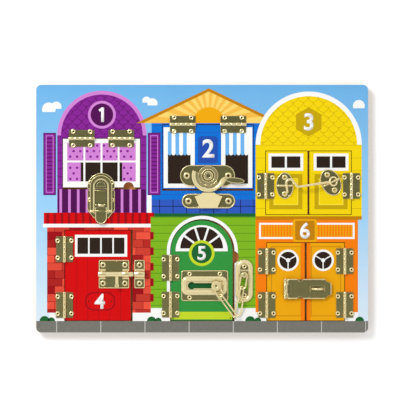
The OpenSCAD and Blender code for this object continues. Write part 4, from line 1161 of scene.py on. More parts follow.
class WoodCoat:
    """A wood piece: its print on the face, plywood in its edges and underneath."""

    bare_roughness = 0.62
    print_roughness = 0.38
    print_depth = 0.05

    def __init__(self, name: str, ground: Feed) -> None:
        """Make the material with a ground colour for the face.

        Args:
            name: The material's name.
            ground: The colour under the print.
        """
        self.coat = Coat(name)
        self.art = Artwork(self.coat, ground)

    def finish(self, face_z: float = FACE_Z) -> Material:
        """Join print and plywood.

        Args:
            face_z: Height of the printed face.

        Returns:
            The material.
        """
        coat, w = self.coat, self.coat.wires
        face = w.above(w.split(coat.point)[2], face_z - self.print_depth)
        wood = w.call(GROUPS.plywood(), Point=coat.point)
        skin = w.call(GROUPS.print_coat(), Point=coat.point, Colour=self.art.colour)
        smoother = w.mul(face, self.bare_roughness - self.print_roughness)
        coat.set({
            "Base Color": w.mix(face, wood["Colour"], skin["Colour"]),
            "Roughness": w.sub(self.bare_roughness, smoother),
            "Specular IOR Level": VARNISH.gloss,
            "Coat Weight": w.mul(face, VARNISH.weight),
            "Coat Roughness": VARNISH.roughness,
        })
        coat.bump(w.add(w.mul(wood["Height"], 0.5), skin["Height"]), 0.14, 0.06)
        return coat.material


def dress(node: str, *materials: Material) -> Object:
    """Give a CAD node its materials.

    Args:
        node: The node's name.
        materials: Its materials, of which the first covers it.

    Returns:
        The node's object.
    """
    obj = frame["nodes"][node]
    obj.data.materials.clear()
    for material in materials:
        obj.data.materials.append(material)
    LOG.info("%s: %s", node, ", ".join(m.name for m in materials))
    return obj


class Front:
    """A house front on the board's print."""

    def paint(self, art: Artwork) -> None:
        """Lay the front's colours."""
        raise NotImplementedError

    def number(self, sheet: InkSheet) -> None:
        """Lay its number plate, which the fronts have whose doors don't carry one."""


@dataclass(frozen=True)
class RoundTop:
    """A half-round gable: a band, and shingles inside it."""

    x: float
    y: float
    radius: float
    band: float
    pitch: float
    line: float

    def paint(self, art: Artwork, band: Ink, ink: Ink, line: Ink) -> None:
        """Lay the gable.

        Args:
            art: The print.
            band: Ink of the band.
            ink: Ink of the shingles.
            line: Ink of the shingles' edges.
        """
        upper = art.rect(Box(self.x - self.radius, self.x + self.radius, self.y, BOARD_HIGH))
        art.over(art.both(art.disc(self.x, self.y, self.radius), upper), band)
        roof = art.both(art.disc(self.x, self.y, self.radius - self.band), upper)
        art.lined(roof, ink, art.scallops(self.pitch, self.line), line)


@dataclass(frozen=True)
class PurpleFront(Front):
    """Purple front with a round shingled top and a striped foot."""

    wall: Box = Box(-172, -66, -5, 87)
    foot: Box = Box(-171, -67, -5, 23)
    top: RoundTop = RoundTop(-119, 87, 53, 4.5, 11, 0.28)
    plate: tuple[float, float] = (-119, 111.5)

    def paint(self, art: Artwork) -> None:
        """Lay the wall, the top and the foot.

        Args:
            art: The print.
        """
        art.lined(art.rect(self.wall), Ink.PURPLE, art.rows(9.4, 0.6), Ink.PURPLE_DEEP)
        self.top.paint(art, Ink.LILAC, Ink.PURPLE, Ink.PURPLE_DEEP)
        art.lined(art.rect(self.foot), Ink.LILAC, art.columns(10.4, 7.4), Ink.PURPLE_DEEP)

    def number(self, sheet: InkSheet) -> None:
        """Lay a round plate, and a 1 with a longer flag than the typeface gives it.

        Args:
            sheet: The board's ink shapes.
        """
        x, y = self.plate
        sheet.disc(x, y, 16.5, Ink.LILAC, 1)
        sheet.disc(x, y, 13.4, Ink.PURPLE_DEEP, 2)
        sheet.numeral("1", x + 0.8, y, 17, 3)
        sheet.spoke(x + 1.4, y + 7.9, (0.0, 5.6), 2.8, 214.0, Ink.WHITE, 4)


@dataclass(frozen=True)
class BlueFront(Front):
    """Blue front with a tiled foot, under a golden gable with a fan of rays."""

    wall: Box = Box(-60, 73, -5.6, 104)
    foot: Box = Box(-60, 64, -5.6, 10.8)
    tile_joint: Box = Box(-60, 64, 2.4, 3.3)
    gable: Box = Box(-78, 94, 101.5, BOARD_HIGH)
    gable_board: float = 4.0
    ridge_y: float = 143.0
    slope: float = 0.48
    sun: float = 19.0

    def paint(self, art: Artwork) -> None:
        """Lay the wall, the tiles and the gable.

        Args:
            art: The print.
        """
        w = art.wires
        art.lined(art.rect(self.wall), Ink.BLUE, art.rows(8.2, 0.5), Ink.BLUE_DEEP)
        joints = art.either(art.rect(self.tile_joint), art.columns(16.0, 0.9, 3.0))
        art.lined(art.rect(self.foot), Ink.TILE, joints, Ink.TILE_JOINT)
        middle = self.gable.middle[0]
        x, y, _ = w.split(art.point)
        across = w.math("ABSOLUTE", w.sub(x, middle))
        edge = w.sub(self.ridge_y, w.mul(across, self.slope))
        art.over(art.both(w.below(y, edge), art.rect(self.gable)), Ink.AMBER_DEEP)
        field_box = self.gable.inset(9, 9, 0, 0)
        inner = art.both(w.below(y, w.sub(edge, self.gable_board)), art.rect(field_box))
        angle = w.math("ARCTAN2", w.sub(y, self.gable.low), w.sub(x, middle))
        art.lined(inner, Ink.GOLD, art.bars(angle, math.pi / 12, math.pi / 24), Ink.GOLD_PALE)
        art.over(art.both(inner, art.disc(middle, self.gable.low, self.sun)), Ink.AMBER)


@dataclass(frozen=True)
class Shutters(Front):
    """Louvred shutters beside the purple window, and a white corner board below one."""

    leaves: tuple[Box, ...] = (Box(-188.5, -173.5, 16, 90), Box(-64.5, -49.5, 16, 90))
    corner_board: Box = Box(-65.5, -60, -5.6, 16)

    def paint(self, art: Artwork) -> None:
        """Lay the board and both shutters.

        Args:
            art: The print.
        """
        art.over(art.rect(self.corner_board), Ink.WHITE)
        for leaf in self.leaves:
            art.over(art.rect(leaf), Ink.PURPLE_DEEP)
            art.over(art.rect(leaf.inside(1)), Ink.PURPLE)
            art.over(art.rect(leaf.inside(3)), Ink.LILAC)
            art.lined(art.rect(leaf.inside(3.8)), Ink.PURPLE, art.rows(4.6, 1.2), Ink.PURPLE_DEEP)


@dataclass(frozen=True)
class YellowFront(Front):
    """Yellow front with a round shingled top in a white band."""

    wall: Box = Box(63.4, 189.5, -9, 76)
    top: RoundTop = RoundTop(126.5, 76, 63, 5.5, 12, 0.26)
    plate: tuple[float, float] = (126.5, 103)

    def paint(self, art: Artwork) -> None:
        """Lay the wall and the top."""
        art.lined(art.rect(self.wall), Ink.YELLOW, art.rows(15.0, 0.5), Ink.YELLOW_DEEP)
        self.top.paint(art, Ink.WHITE, Ink.YELLOW, Ink.YELLOW_DEEP)

    def number(self, sheet: InkSheet) -> None:
        """Lay a six-sided plate and the 3."""
        sheet.disc(*self.plate, 17.5, Ink.YELLOW_DEEP, 1, corners=6)
        sheet.numeral("3", *self.plate, 20, 2)


@dataclass(frozen=True)
class RedFront(Front):
    """Red brick front under a red and white eave."""

    wall: Box = Box(-184, -61, -123.5, -22)
    eave: Box = Box(-188, -57, -18, -4.8)
    fascia: Box = Box(-189, -56, -22.2, -18)

    def paint(self, art: Artwork) -> None:
        """Lay the bricks, the eave and its fascia.

        Args:
            art: The print.
        """
        art.over(art.rect(self.wall), art.bricks(17.5, 9.2))
        art.lined(art.rect(self.eave), Ink.RED, art.columns(8.4, 3.2), Ink.RED_DEEP)
        art.over(art.rect(self.fascia), Ink.WHITE)


@dataclass(frozen=True)
class GreenFront(Front):
    """Lime boarded front with a white band round the arched doorway."""

    wall: Box = Box(-61, 63.4, -118, -9.6)
    teeth: Box = Box(-61, -57.5, -118, -22)
    course: float = 9.2
    eave: Box = Box(-57, 63.4, -9.6, -5.6)
    base: Box = Box(-61, 63.4, -133.4, -118)
    arch: tuple[float, float, float] = (0.25, -50.6, 42.15)

    def paint(self, art: Artwork) -> None:
        """Lay the boards, the bricks that reach into them, and the white band.

        Args:
            art: The print.
        """
        x, y, radius = self.arch
        art.lined(art.rect(self.wall), Ink.LIME, art.rows(9.5, 0.6, 1.0), Ink.LIME_DEEP)
        art.over(art.both(art.rect(self.teeth), art.rows(2 * self.course, self.course)), Ink.RED_DEEP)
        art.over(art.rect(self.eave), Ink.GREEN_DEEP)
        jambs = art.rect(Box(x - radius, x + radius, -126, y))
        art.over(art.either(art.disc(x, y, radius), jambs), Ink.WHITE)
        art.over(art.rect(self.base), Ink.WHITE)


@dataclass(frozen=True)
class OrangeFront(Front):
    """Orange front with a striped band over its doors."""

    wall: Box = Box(63.4, 185, -122.9, -13)
    eave: Box = Box(63.4, 189.5, -13.2, -9)
    band: Box = Box(67.5, 181, -36, -16.8)
    base: Box = Box(63.4, 185, -133.4, -122.9)
    plate: Box = Box(107.5, 136.5, -39.4, -12.4)

    def paint(self, art: Artwork) -> None:
        """Lay the wall, the eave, the band and the base.

        Args:
            art: The print.
        """
        art.over(art.rect(self.wall), Ink.ORANGE)
        art.over(art.rect(self.eave), Ink.AMBER_DEEP)
        art.over(art.rect(self.band), Ink.WHITE)
        art.lined(art.rect(self.band.inside(2.3)), Ink.ORANGE, art.columns(3.4, 1.4), Ink.AMBER)
        art.over(art.rect(self.base), Ink.WHITE)

    def number(self, sheet: InkSheet) -> None:
        """Lay a double plate and the 6.

        Args:
            sheet: The board's ink shapes.
        """
        x, y = self.plate.middle
        sheet.bar(self.plate, Ink.AMBER, 1, 3)
        sheet.bar(self.plate.inset(3, 3, 2, 2), Ink.AMBER_DEEP, 2, 2)
        sheet.numeral("6", x, y, 18.4, 3)


@dataclass
class PrintedBoard:
    """The board with its six doorways: sky, fronts, pavement, number plates and the bare back."""

    pavement_top: float = -133.4
    paving_pitch: float = 52.4
    clouds: tuple[tuple[float, float, float], ...] = (
        (-182, 118, 8), (-173, 121, 6), (186, 122, 7), (-66, 128, 5), (-59, 125, 6),
    )
    bushes: tuple[tuple[float, float], ...] = (
        (-187, 6), (-179, 4.4), (-60, 5.4), (-52, 4), (57, 5.8), (66, 4.2), (187, 5.2),
    )
    fronts: tuple[Front, ...] = (
        PurpleFront(), BlueFront(), Shutters(), YellowFront(), RedFront(), GreenFront(), OrangeFront(),
    )

    def build(self) -> None:
        """Print the board and set the plates and the bushes."""
        coat = WoodCoat("board_print", Ink.WHITE.linear())
        art = coat.art
        self._sky(art)
        for front in self.fronts:
            front.paint(art)
        self._pavement(art)
        dress("front_board", coat.finish())
        back = WoodCoat("bare_back", Ink.BARE_WOOD.linear())
        dress("back_panel", back.finish(BACK_PANEL_TOP))
        sheet = InkSheet("board_plates", "root")
        for front in self.fronts:
            front.number(sheet)
        for x, radius in self.bushes:
            sheet.disc(x, self.pavement_top, radius, Ink.GREEN_DEEP, 1, half=Half.UPPER)
        sheet.finish()

    def _sky(self, art: Artwork) -> None:
        """Lay a sky that is paler below, and small round clouds in its corners.

        Args:
            art: The print.
        """
        w = art.wires
        height = w.div(w.sub(w.split(art.point)[1], BOARD_LOW), BOARD_HIGH - BOARD_LOW)
        art.colour = w.ramp(
            height, (0.05, Tint(210, 226, 238)), (0.5, Tint(150, 200, 236)), (1.0, Tint(104, 170, 220))
        )
        for x, y, radius in self.clouds:
            upper = art.rect(Box(x - radius, x + radius, y - radius * 0.4, BOARD_HIGH))
            art.over(art.both(art.disc(x, y, radius), upper), Ink.WHITE)

    def _pavement(self, art: Artwork) -> None:
        """Lay grey paving along the foot of the board.

        Args:
            art: The print.
        """
        art.over(art.rect(Box(-181, -61, self.pavement_top, -123.5)), Ink.WHITE)
        strip = art.rect(Box(-200, 200, -150, self.pavement_top))
        mottled = art.wires.noise(art.point, 0.25, 4.0)
        art.over(strip, art.wires.mix(mottled, Ink.STONE.linear(), Ink.STONE_PALE.linear()))
        art.over(art.both(strip, art.columns(self.paving_pitch, 1.0, 16.0)), Ink.STONE_JOINT)


@dataclass
class PrintedDoor:
    """What every door shares: a wood blank with a printed face."""

    node: str
    ink = Ink.WHITE

    def lines(self, art: Artwork) -> None:
        """Lay the ground's lines, where the door has any."""

    def draw(self, sheet: InkSheet, box: Box) -> None:
        """Lay the door's own shapes inside its box."""
        raise NotImplementedError

    def build(self) -> None:
        """Print the blank and lay its shapes."""
        coat = WoodCoat(self.node + "_print", self.ink.linear())
        self.lines(coat.art)
        dress(self.node, coat.finish())
        sheet = InkSheet(self.node + "_shapes", self.node)
        self.draw(sheet, Box.of(self.node))
        sheet.finish()


@dataclass
class PurpleFlap(PrintedDoor):
    """Flap 1: a white window frame over dotted blinds and dark panes."""

    rail: float = 5.0
    sill: float = 7.0
    bar: float = 1.1
    curtain: float = 16.0
    split: float = 0.52
    dot: float = 1.55
    dot_rows: int = 7
    dots_in_row: int = 10
    dot_pitch: float = 8.0

    def draw(self, sheet: InkSheet, box: Box) -> None:
        """Lay blinds, panes, dots and bars.

        Args:
            sheet: The door's ink shapes.
            box: The door's box.
        """
        view = box.inset(self.rail, self.rail, self.sill, self.rail)
        width, height = 2 * view.half[0], 2 * view.half[1]
        split = view.low + self.split * height
        lower = Box(view.left, view.right, view.low, split)
        sheet.bar(Box(view.left, view.right, split, view.high), Ink.LILAC, 1)
        sheet.bar(lower, Ink.PANE, 1)
        sheet.bar(lower.inset(0, width - self.curtain, 0, 0), Ink.LILAC, 2)
        sheet.bar(lower.inset(width - self.curtain, 0, 0, 0), Ink.LILAC, 2)
        self._dots(sheet, view, split)
        sheet.bar(Box(view.left, view.right, split - self.bar, split + self.bar), Ink.WHITE, 5)
        for share in (0.25, 0.5, 0.75):
            x = view.left + share * width
            sheet.bar(Box(x - self.bar, x + self.bar, view.low, view.high), Ink.WHITE, 4)

    def _dots(self, sheet: InkSheet, view: Box, split: float) -> None:
        """Lay staggered dots on the blinds and the curtains.

        Args:
            sheet: The door's ink shapes.
            view: The window inside its frame.
            split: Height of the level bar.
        """
        row_step = (view.high - view.low - 6) / (self.dot_rows - 1)
        for row in range(self.dot_rows):
            y = view.low + 3 + row * row_step
            start = view.left + 3.6 + (self.dot_pitch / 2 if row % 2 else 0.0)
            for i in range(self.dots_in_row):
                x = start + i * self.dot_pitch
                beside = min(x - view.left, view.right - x) < self.curtain - 1.5
                clear = x < view.right - 2 and abs(y - split) > 2
                if clear and (beside or y > split):
                    sheet.disc(x, y, self.dot, Ink.PURPLE, 3, corners=16)


@dataclass
class BlueFlap(PrintedDoor):
    """Flap 2: two windows with striped awnings and a number plate between them."""

    ink = Ink.BLUE
    window: float = 37.0
    frame: float = 5.0
    awning: float = 26.0
    stripes: int = 6
    plate_half: float = 11.5
    plate_span: tuple[float, float] = (54, 86)

    def lines(self, art: Artwork) -> None:
        """Lay level boards."""
        art.over(art.rows(9.0, 0.5), Ink.BLUE_DEEP)

    def draw(self, sheet: InkSheet, box: Box) -> None:
        """Lay both windows, the plate and the number.

        Args:
            sheet: The door's ink shapes.
            box: The door's box.
        """
        windows = box.inset(1, 1, 1, 3)
        spare = windows.right - windows.left - self.window
        self._window(sheet, windows.inset(0, spare, 0, 0))
        self._window(sheet, windows.inset(spare, 0, 0, 0))
        middle = box.middle[0]
        plate = Box(middle - self.plate_half, middle + self.plate_half, *self.plate_span)
        sheet.bar(plate, Ink.BLUE_DEEP, 1, 3)
        sheet.numeral("2", middle + 0.5, 71.5, 21.5, 2)

    def _window(self, sheet: InkSheet, outer: Box) -> None:
        """Lay one window with its awning.

        Args:
            sheet: The door's ink shapes.
            outer: The window's frame.
        """
        sheet.bar(outer, Ink.WHITE, 1)
        pane = outer.inside(self.frame)
        sheet.bar(pane, Ink.PANE, 2)
        hem = pane.high - self.awning
        sheet.bar(Box(pane.left, pane.right, hem, pane.high), Ink.BLUE_PALE, 3)
        step = (pane.right - pane.left) / self.stripes
        for i in range(self.stripes):
            x = pane.left + (i + 0.5) * step
            ink = Ink.WHITE if i % 2 else Ink.BLUE_PALE
            sheet.disc(x, hem, step / 2, ink, 3, corners=24, half=Half.LOWER)
            if i % 2:
                sheet.bar(Box(x - step / 2, x + step / 2, hem, pane.high), Ink.WHITE, 4)


@dataclass
class YellowDoor(PrintedDoor):
    """A door of pair 3: a two-pane window over a sunk panel."""

    ink = Ink.YELLOW
    shift: float = 0.0
    window: float = 20.4
    frame: float = 3.4
    mullion: float = 2.4

    def draw(self, sheet: InkSheet, box: Box) -> None:
        """Lay the window and the panel.

        Args:
            sheet: The door's ink shapes.
            box: The door's box.
        """
        leaf = box.inset(3 + self.shift, 5 - self.shift, 6, 2.6)
        window = Box(leaf.left, leaf.right, leaf.high - self.window, leaf.high)
        sheet.bar(window, Ink.WHITE, 1)
        panes = window.inside(self.frame)
        half = (panes.right - panes.left + self.mullion) / 2
        sheet.bar(panes.inset(0, half, 0, 0), Ink.PANE, 2)
        sheet.bar(panes.inset(half, 0, 0, 0), Ink.PANE, 2)
        panel = leaf.inset(1, 1, 0, self.window + 4)
        sheet.bar(panel, Ink.YELLOW_DEEP, 1)
        sheet.bar(panel.inside(5), Ink.YELLOW, 2)
        sheet.border(panel.inside(5), 0.8, Ink.YELLOW_PALE, 3)


@dataclass
class RedDoor(PrintedDoor):
    """Door 4: red planks, a row of panes and an oblong number plate."""

    ink = Ink.RED
    window: Box = Box(-151, -89, -57, -31)
    first_pane: Box = Box(-148, -135.4, -53.6, -34.4)
    pane_pitch: float = 14.4
    plate: Box = Box(-139, -103, -121, -99)
    screw_reach: float = 13.6

    def lines(self, art: Artwork) -> None:
        """Lay upright planks."""
        art.over(art.columns(13.0, 0.5, 6.0), Ink.RED_DEEP)

    def draw(self, sheet: InkSheet, box: Box) -> None:
        """Lay the window, the number plate and its screws.

        Args:
            sheet: The door's ink shapes.
            box: The door's box, which is not used.
        """
        sheet.bar(self.window, Ink.WHITE, 1)
        for i in range(4):
            along = i * self.pane_pitch
            sheet.bar(self.first_pane.inset(along, -along, 0, 0), Ink.PANE, 2)
        x, y = self.plate.middle
        sheet.bar(self.plate, Ink.RED_DEEP, 1, 10)
        sheet.bar(self.plate.inside(1.6), Ink.RED, 2, 8.8)
        sheet.numeral("4", x - 0.6, y, 17.6, 3)
        for side in (-1, 1):
            sheet.disc(x + side * self.screw_reach, y, 0.9, Ink.PANE, 3, corners=16)


@dataclass
class GreenDoor(PrintedDoor):
    """Door 5: a fanlight, a round number plate, a kick plate and painted shade under the chain's slot."""

    ink = Ink.GREEN
    arch_y: float = -50.6
    # Place and size of the painted shade under the chain plate's slot and keyhole
    keyhole: tuple[float, float] = (-12.5, -91.4)
    slot_end: float = 21.9
    slot: float = 3.4
    fanlight: float = 31.0
    glass: float = 25.4
    glass_rise: float = 3.4
    spokes: tuple[float, ...] = (36.0, 72.0, 108.0, 144.0)
    plate_drop: float = 2.2
    plate: float = 15.3
    plate_rim: float = 3.3

    def draw(self, sheet: InkSheet, box: Box) -> None:
        """Lay the fanlight, the plates and the painted shade under the chain's slot.

        Args:
            sheet: The door's ink shapes.
            box: The door's box.
        """
        x, y = box.middle[0], self.arch_y
        glass_y, plate_y = y + self.glass_rise, y - self.plate_drop
        sheet.disc(x, y, self.fanlight, Ink.WHITE, 1, 64, Half.UPPER)
        sheet.disc(x, glass_y, self.glass, Ink.PANE, 2, 64, Half.UPPER)
        for angle in self.spokes:
            sheet.spoke(x, glass_y, (8, 27), 2.4, angle, Ink.WHITE, 3)
        sheet.disc(x, plate_y, self.plate, Ink.LIME_PALE, 4)
        sheet.disc(x, plate_y, self.plate - self.plate_rim, Ink.GREEN_DEEP, 5)
        sheet.numeral("5", x, plate_y, 16.6, 6)
        kick = Box(box.left + 0.7, box.right - 0.7, box.low + 1.2, box.low + 10.2)
        sheet.bar(kick, Ink.LIME_PALE, 1)
        # Painted shade: dark green where the chain plate's slot and keyhole open over the door
        key_x, key_y = self.keyhole
        slot = Box(key_x, self.slot_end, key_y - self.slot, key_y + self.slot)
        sheet.bar(slot, Ink.GREEN_DEEP, 1, 3.3)
        sheet.disc(key_x, key_y, 4.7, Ink.GREEN_DEEP, 2)
        for screw in (box.left + 2.6, box.right - 2.5):
            sheet.disc(screw, kick.low + 1.6, 0.8, Ink.PANE, 2, corners=16)


@dataclass
class OrangeDoor(PrintedDoor):
    """A door of pair 6: a round window with three bars in a panelled face."""

    ink = Ink.AMBER
    window_x: float = 102.0
    hinged_right: bool = False
    strip: float = 4.5
    window_drop: float = 20.6
    window: float = 12.8
    glass: float = 10.2
    hub: float = 2.4
    spokes: tuple[float, ...] = (30.0, 150.0, 270.0)

    def draw(self, sheet: InkSheet, box: Box) -> None:
        """Lay the panel's line, the strip at the meeting edge and the round window.

        Args:
            sheet: The door's ink shapes.
            box: The door's box.
        """
        sheet.border(box.inset(5, 4, 5, 4), 0.8, Ink.AMBER_DEEP, 1)
        beyond = box.right - box.left - self.strip
        strip = box.inset(0, beyond, 0, 0) if self.hinged_right else box.inset(beyond, 0, 0, 0)
        sheet.bar(strip, Ink.ORANGE, 2)
        x, y = self.window_x, box.high - self.window_drop
        sheet.disc(x, y, self.window, Ink.WHITE, 2)
        sheet.disc(x, y, self.glass, Ink.PANE, 3)
        for angle in self.spokes:
            sheet.spoke(x, y, (0, 10.6), 1.3, angle, Ink.WHITE, 4)
        sheet.disc(x, y, self.hub, Ink.WHITE, 5, corners=24)


# ---- Hardware ----


@dataclass(frozen=True)
class EdgeBreak:
    """Rounds the sharp edges of a stamped CAD piece, with a polished finish on the break that is made pale
    partly as a painted highlight.
    """

    width: float = 0.3
    segments: int = 2
    weld: float = 0.001
    flat_angle: float = 1.0
    sharp_angle: float = 40.0

    def on(self, obj: Object) -> None:
        """Add the modifiers that round a CAD piece's edges.

        Args:
            obj: The piece, with the finish of the break in its second slot.
        """
        weld = obj.modifiers.new("weld", "WELD")
        weld.merge_threshold = self.weld * MM
        flat = obj.modifiers.new("flat", "DECIMATE")
        flat.decimate_type = "DISSOLVE"
        flat.angle_limit = math.radians(self.flat_angle)
        bevel = obj.modifiers.new("edge", "BEVEL")
        bevel.width = self.width * MM
        bevel.segments = self.segments
        bevel.limit_method = "ANGLE"
        bevel.angle_limit = math.radians(self.sharp_angle)
        bevel.material = 1
        bevel.harden_normals = True
        bevel.use_clamp_overlap = True


def stamp(node: str, finish: Finish, edge: EdgeBreak = EdgeBreak()) -> None:
    """Dress a CAD node as stamped sheet and break its edges."""
    edge.on(dress(node, finish.material(), Brass.EDGE.value.material()))


@dataclass
class Hinges:
    """All hinge leaves, pins and rivets."""

    bodies: tuple[str, ...] = (
        "board", "flap_1", "flap_2", "door_3_left", "door_3_right", "door_4", "door_5", "door_6_left",
        "door_6_right",
    )
    leaf_edge: EdgeBreak = EdgeBreak(0.16)

    def build(self) -> None:
        """Dress the leaves, the pins and the rivets."""
        leaf = StampedBrass("hinge_brass")
        rivet = StampedBrass("turned_brass", polished_from=PLATE_Z, raised_metal=0.5)
        for body in self.bodies:
            leaves = "_hinge_leaf" if body.startswith("door_3") else "_hinge_leaves"
            stamp(body + leaves, leaf, self.leaf_edge)
            dress(body + "_rivets", rivet.material())
        dress("hinge_pins", Brass.BRIGHT.value.material())


class Latch:
    """What the latches share: sheet pieces with polished rims, and bright wires and pins."""

    bright: tuple[str, ...] = ()

    def sheets(self) -> dict[str, dict[str, object]]:
        """Return the fields of each sheet piece's finish, by its CAD node."""
        raise NotImplementedError

    def build(self) -> None:
        """Dress the latch's pieces."""
        for node, fields in self.sheets().items():
            stamp(node, StampedBrass(node + "_sheet", **fields))
        for node in self.bright:
            dress(node, Brass.BRIGHT.value.material())


@dataclass
class DrawLatch(Latch):
    """Draw latch of flap 1: catch plate, base plate, lever and loop."""

    bright = ("draw_lever_pin", "draw_loop_pin")
    lever_top: float = 17.0
    loop_top: float = 15.9
    above_all: float = 20.0
    reach: float = 40.0
    opening: float = 9.4
    base_cut: tuple[float, float, float] = (0.785, -0.62, 17.21)

    def sheets(self) -> dict[str, dict[str, object]]:
        """Measure the four pieces.

        Returns:
            The fields of their finishes.
        """
        catch, lever, loop = map(Box.of, ("draw_catch_plate", "draw_lever", "draw_loop"))
        x, radius, long = catch.middle[0], catch.half[0], self.reach
        arc = Outline.disc(x, catch.high - radius, radius, cut=(0.0, -1.0, catch.high - radius - catch.low))
        base = Outline.plate("draw_base_plate", 1.5, cut=self.base_cut)
        grip = Outline(x, lever.low + long, lever.half[0], long, lever.half[0])
        outer = Outline(x, loop.high - long, loop.half[0], long, loop.half[0])
        inner = Outline(x, loop.high - long, self.opening, long, self.opening)
        return {
            "draw_catch_plate": {"rims": (Rim(arc),), "polished_from": self.above_all},
            "draw_base_plate": {"rims": (Rim(base),), "polished_from": self.above_all},
            "draw_lever": {
                "rims": (Rim(grip, 1.2, 15.0, self.lever_top, 0.4),), "polished_from": self.lever_top},
            "draw_loop": {
                "rims": (Rim(outer, 1.0, 14.6, 15.85), Rim(inner, 1.9, 15.85, 17.0, 0.7)),
                "polished_from": self.loop_top, "raised_metal": 0.6},
        }


@dataclass
class SashLock(Latch):
    """Sash lock of flap 2: plate, pivot, cam with its crescent and thumb pad, and hooded keeper."""

    cam_face: float = 14.6
    rings: tuple[tuple[float, float], ...] = ((11.8, 0.7), (7.9, 0.8))
    crescent: tuple[float, float] = (19.5, 4.3)
    thumb: Outline = Outline(39.0, 33.5, 11.2, 3.45, turn=-6.0, oval=True)
    hood: tuple[float, float] = (8.55, 8.5)
    pivot_recess: float = 3.1

    def sheets(self) -> dict[str, dict[str, object]]:
        """Measure the four pieces.

        Returns:
            The fields of their finishes.
        """
        x, y = Box.of("sash_pivot").middle
        radius, width = self.crescent
        keeper = Box.of("sash_keeper")
        half_hood, corner = self.hood
        hem = Outline(keeper.middle[0], keeper.low + half_hood, keeper.half[0], half_hood, corner)
        rings = tuple(
            Rim(Outline.disc(x, y, r), w, self.cam_face - 0.4, self.cam_face, 0.2)
            for r, w in self.rings
        )
        blade = Rim(Outline.disc(x, y, radius), width, self.cam_face, 18.0, 1.1)
        return {
            "sash_plate": {"rims": (Rim(Outline.plate("sash_plate", 12.5)),)},
            "sash_cam": {
                "rims": (*rings, blade), "polished_from": self.cam_face, "pads": ((self.thumb, 0.9),),
                "raised_metal": 0.6},
            "sash_keeper": {"rims": (Rim(hem, 1.4),), "raised_metal": 0.2},
            "sash_pivot": {"pads": ((Outline.disc(x, y, self.pivot_recess), 0.0),)},
        }


@dataclass
class CabinHook(Latch):
    """Cabin hook of the doors 3: two oval plates with staples, and the hook."""

    bright = ("hook_rest_staple", "hook_eye_staple", "hook")
    eye_plate: tuple[float, float] = (11.7, 16.3)
    eye_turn: float = 25.8

    def sheets(self) -> dict[str, dict[str, object]]:
        """Return the finishes' fields.

        Returns:
            The fields of the finishes, by CAD node.
        """
        eye = Outline(*Box.of("hook_eye_plate").middle, *self.eye_plate, turn=self.eye_turn, oval=True)
        rest = Outline.plate("hook_rest_plate", oval=True)
        return {"hook_rest_plate": {"rims": (Rim(rest),)}, "hook_eye_plate": {"rims": (Rim(eye),)}}


@dataclass
class BarrelBolt(Latch):
    """Bolt of door 4: plate, keeper, rod and handle."""

    bright = ("bolt_rod", "bolt_handle")

    def sheets(self) -> dict[str, dict[str, object]]:
        """Return the finishes' fields."""
        return {node: {"rims": (Rim(Outline.plate(node, 1.6)),)} for node in ("bolt_plate", "bolt_keeper")}


@dataclass
class DoorChain(Latch):
    """Chain of door 5: slotted plate, slider, anchor plate, post and links."""

    bright = ("chain_slider_links", "chain_anchor_links")
    stud_z: float = 13.0
    channel: Outline = Outline(2.7, -91.4, 27.0, 11.0, 7.0)
    slider_recess: float = 1.2
    post_recess: float = 1.3

    def sheets(self) -> dict[str, dict[str, object]]:
        """Measure the four pieces.

        Returns:
            The fields of their finishes.
        """
        slide = Rim(Outline.plate("chain_slide_plate", 3.0))
        channel = Rim(self.channel, 5.9, 13.2, 15.6, 1.6)
        dish = Rim(Outline.plate("chain_anchor_plate", 9.9, 0.5), 5.1, 13.2, 14.2, 1.3)
        slider, post = Box.of("chain_slider").middle, Box.of("chain_post").middle
        return {
            "chain_slide_plate": {"rims": (slide, channel), "polished_from": 14.0, "raised_metal": 0.5},
            "chain_slider": {
                "polished_from": self.stud_z, "pads": ((Outline.disc(*slider, self.slider_recess), 0.0),),
                "raised_metal": 0.6},
            "chain_anchor_plate": {"rims": (dish,), "raised_metal": 0.5},
            "chain_post": {
                "polished_from": self.stud_z, "pads": ((Outline.disc(*post, self.post_recess), 0.0),)},
        }


@dataclass
class Hasp(Latch):
    """Hasp of the doors 6: leaf, strap, staple plate, staple and pin."""

    bright = ("hasp_pin", "hasp_staple")
    strap_left: float = 100.9
    strap_top: float = 16.4

    def sheets(self) -> dict[str, dict[str, object]]:
        """Measure the three pieces.

        Returns:
            The fields of their finishes.
        """
        strap = Box.of("hasp_strap")
        flat = Box(self.strap_left, strap.right, strap.low, strap.high)
        edge = Rim(Outline(*flat.middle, *flat.half, 3.0), 1.1, 15.8, 16.3)
        return {
            "hasp_leaf": {},
            "hasp_strap": {"rims": (edge,), "polished_from": self.strap_top},
            "hasp_staple_plate": {"rims": (Rim(Outline.plate("hasp_staple_plate", 3.0)),)},
        }


# ---- Studio ----


